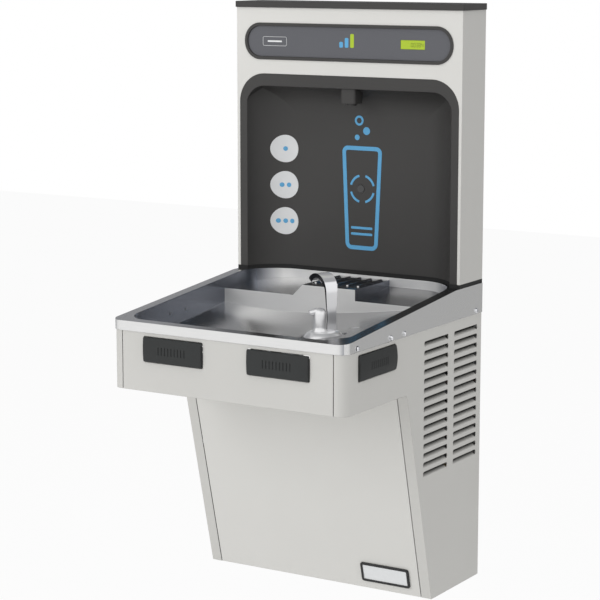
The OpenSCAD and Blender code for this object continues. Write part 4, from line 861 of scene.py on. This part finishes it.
def makeSigns():
    blue = [flatShape(name, **shape) for name, shape in wallSigns.items()]
    pale, dots = makeDiscs()
    pale.append(flatShape("badgeFrame", badge["place"], badge["size"], 4, badge["rounding"],
                          badge["stroke"]))
    pale.append(flatShape("badgeBar", badge["place"], badge["bar"], 4, badge["barRounding"]))
    blue += dots + [makeBar("low"), makeBar("middle")]
    # The printed high level bar takes the display's green finish, and with it a faint glow of
    # painted light
    for parts, name, slot in ((blue, "signsBlue", "coil_blue"), (pale, "signsPale", "plate_white"),
                              ([makeBar("high")], "signGreen", "display_green")):
        hand(joined(parts, name), slot)


makeSigns()
print("signs modelled")


# Studio
studio = {
    "floorZ": -0.851,
    "floorSize": 14.0,
    "floorWhite": 0.9,
    "diffuseSky": 0.62,
    "seenSky": 1.0,
    "aim": (0, -0.2, 0.1),
    "key": {"place": (-1.9, -3.6, 1.5), "size": (1.6, 2.2), "power": 46},
    "fill": {"place": (3.6, -1.2, 1.6), "size": (1.6, 1.6), "power": 8},
    "top": {"place": (0.2, -1.0, 3.0), "size": (2.0, 2.0), "power": 16},
}


# An area lamp that reflections don't show
def lamp(name, setting):
    data = bpy.data.lights.new(name, "AREA")
    data.shape = "RECTANGLE"
    data.size, data.size_y = setting["size"]
    data.energy = setting["power"]
    holder = bpy.data.objects.new(name, data)
    holder.location = setting["place"]
    look = Vector(studio["aim"]) - Vector(setting["place"])
    holder.rotation_euler = look.to_track_quat("-Z", "Y").to_euler()
    holder.visible_glossy = False
    bpy.context.collection.objects.link(holder)


# White to the camera, in reflections and through glass, a plain grey light otherwise
def makeWorld():
    world = bpy.data.worlds.new("studioWorld")
    world.use_nodes = True
    bpy.context.scene.world = world
    tree = world.node_tree
    tree.nodes.clear()
    path = tree.nodes.new("ShaderNodeLightPath")
    seen = path.outputs["Is Camera Ray"]
    for ray in ("Is Glossy Ray", "Is Transmission Ray"):
        either = tree.nodes.new("ShaderNodeMath")
        either.operation = "MAXIMUM"
        tree.links.new(seen, either.inputs[0])
        tree.links.new(path.outputs[ray], either.inputs[1])
        seen = either.outputs[0]
    blend = tree.nodes.new("ShaderNodeMixShader")
    tree.links.new(seen, blend.inputs[0])
    for place, strength in ((1, studio["diffuseSky"]), (2, studio["seenSky"])):
        light = tree.nodes.new("ShaderNodeBackground")
        light.inputs["Color"].default_value = (1, 1, 1, 1)
        light.inputs["Strength"].default_value = strength
        tree.links.new(light.outputs[0], blend.inputs[place])
    out = tree.nodes.new("ShaderNodeOutputWorld")
    tree.links.new(blend.outputs[0], out.inputs[0])


# Dark cards behind, above and beside the object, seen only in reflections
cards = {
    "back": {"place": (-1.08, 0.75, 0.75), "turn": (90, 0, 0), "size": (2.9, 1.9),
             "grey": (146, 147, 150)},
    "corner": {"place": (1.6, 0.75, 0.35), "turn": (90, 0, 0), "size": (2.4, 2.2),
               "grey": (176, 176, 176)},
    "above": {"place": (0.0, 0.3, 2.3), "turn": (0, 0, 0), "size": (4.4, 3.2),
              "grey": (96, 97, 100)},
    "left": {"place": (-2.2, -0.2, 0.9), "turn": (0, 90, 0), "size": (2.4, 2.6),
             "grey": (84, 86, 92)},
}


def makeCard(name, card):
    flag = begin("card" + name.capitalize(), bpy.ops.mesh.primitive_plane_add,
                 scale=(*card["size"], 1), size=1, location=card["place"],
                 rotation=[math.radians(a) for a in card["turn"]])
    f = Finish(flag.name)
    cloud = f.noise(0.5, 2.0)
    flag.data.materials.append(f.surface(
        colour=f.mix(cloud, screen(2, 2, 2), screen(6, 6, 6)), rough=0.9, specular=0.0,
        glow=screen(*card["grey"]), glowPower=1.0))
    for kind in ("camera", "diffuse", "transmission", "volume_scatter", "shadow"):
        setattr(flag, "visible_" + kind, False)


# The floor shows the camera a near white of its own, so that only a weak shadow is left
def makeFloor():
    bpy.ops.object.select_all(action="DESELECT")
    bpy.ops.mesh.primitive_plane_add(size=studio["floorSize"], location=(0, 0, studio["floorZ"]))
    floor = bpy.context.object
    floor.name = "floor"
    f = Finish("paleFloor")
    cloud = f.noise(0.6, 2.0)
    f.surface(colour=f.mix(cloud, screen(246, 246, 246), screen(252, 252, 252)),
              rough=0.6 + cloud * 0.1)
    shader = next(n for n in f.tree.nodes if n.type == "BSDF_PRINCIPLED")
    out = next(n for n in f.tree.nodes if n.type == "OUTPUT_MATERIAL")
    white = f.node("ShaderNodeEmission", {}, {"Color": (1, 1, 1, 1), "Strength": 1.0})
    seen = f.node("ShaderNodeLightPath") * studio["floorWhite"]
    blend = f.node("ShaderNodeMixShader", {}, {0: seen})
    f.tree.links.new(shader.outputs[0], blend.socket.node.inputs[1])
    f.tree.links.new(white.socket, blend.socket.node.inputs[2])
    f.tree.links.new(blend.socket, out.inputs[0])
    floor.data.materials.append(f.material)


makeWorld()
makeFloor()
for name, card in cards.items():
    makeCard(name, card)
for name in ("key", "fill", "top"):
    lamp(name, studio[name])
print("studio made")
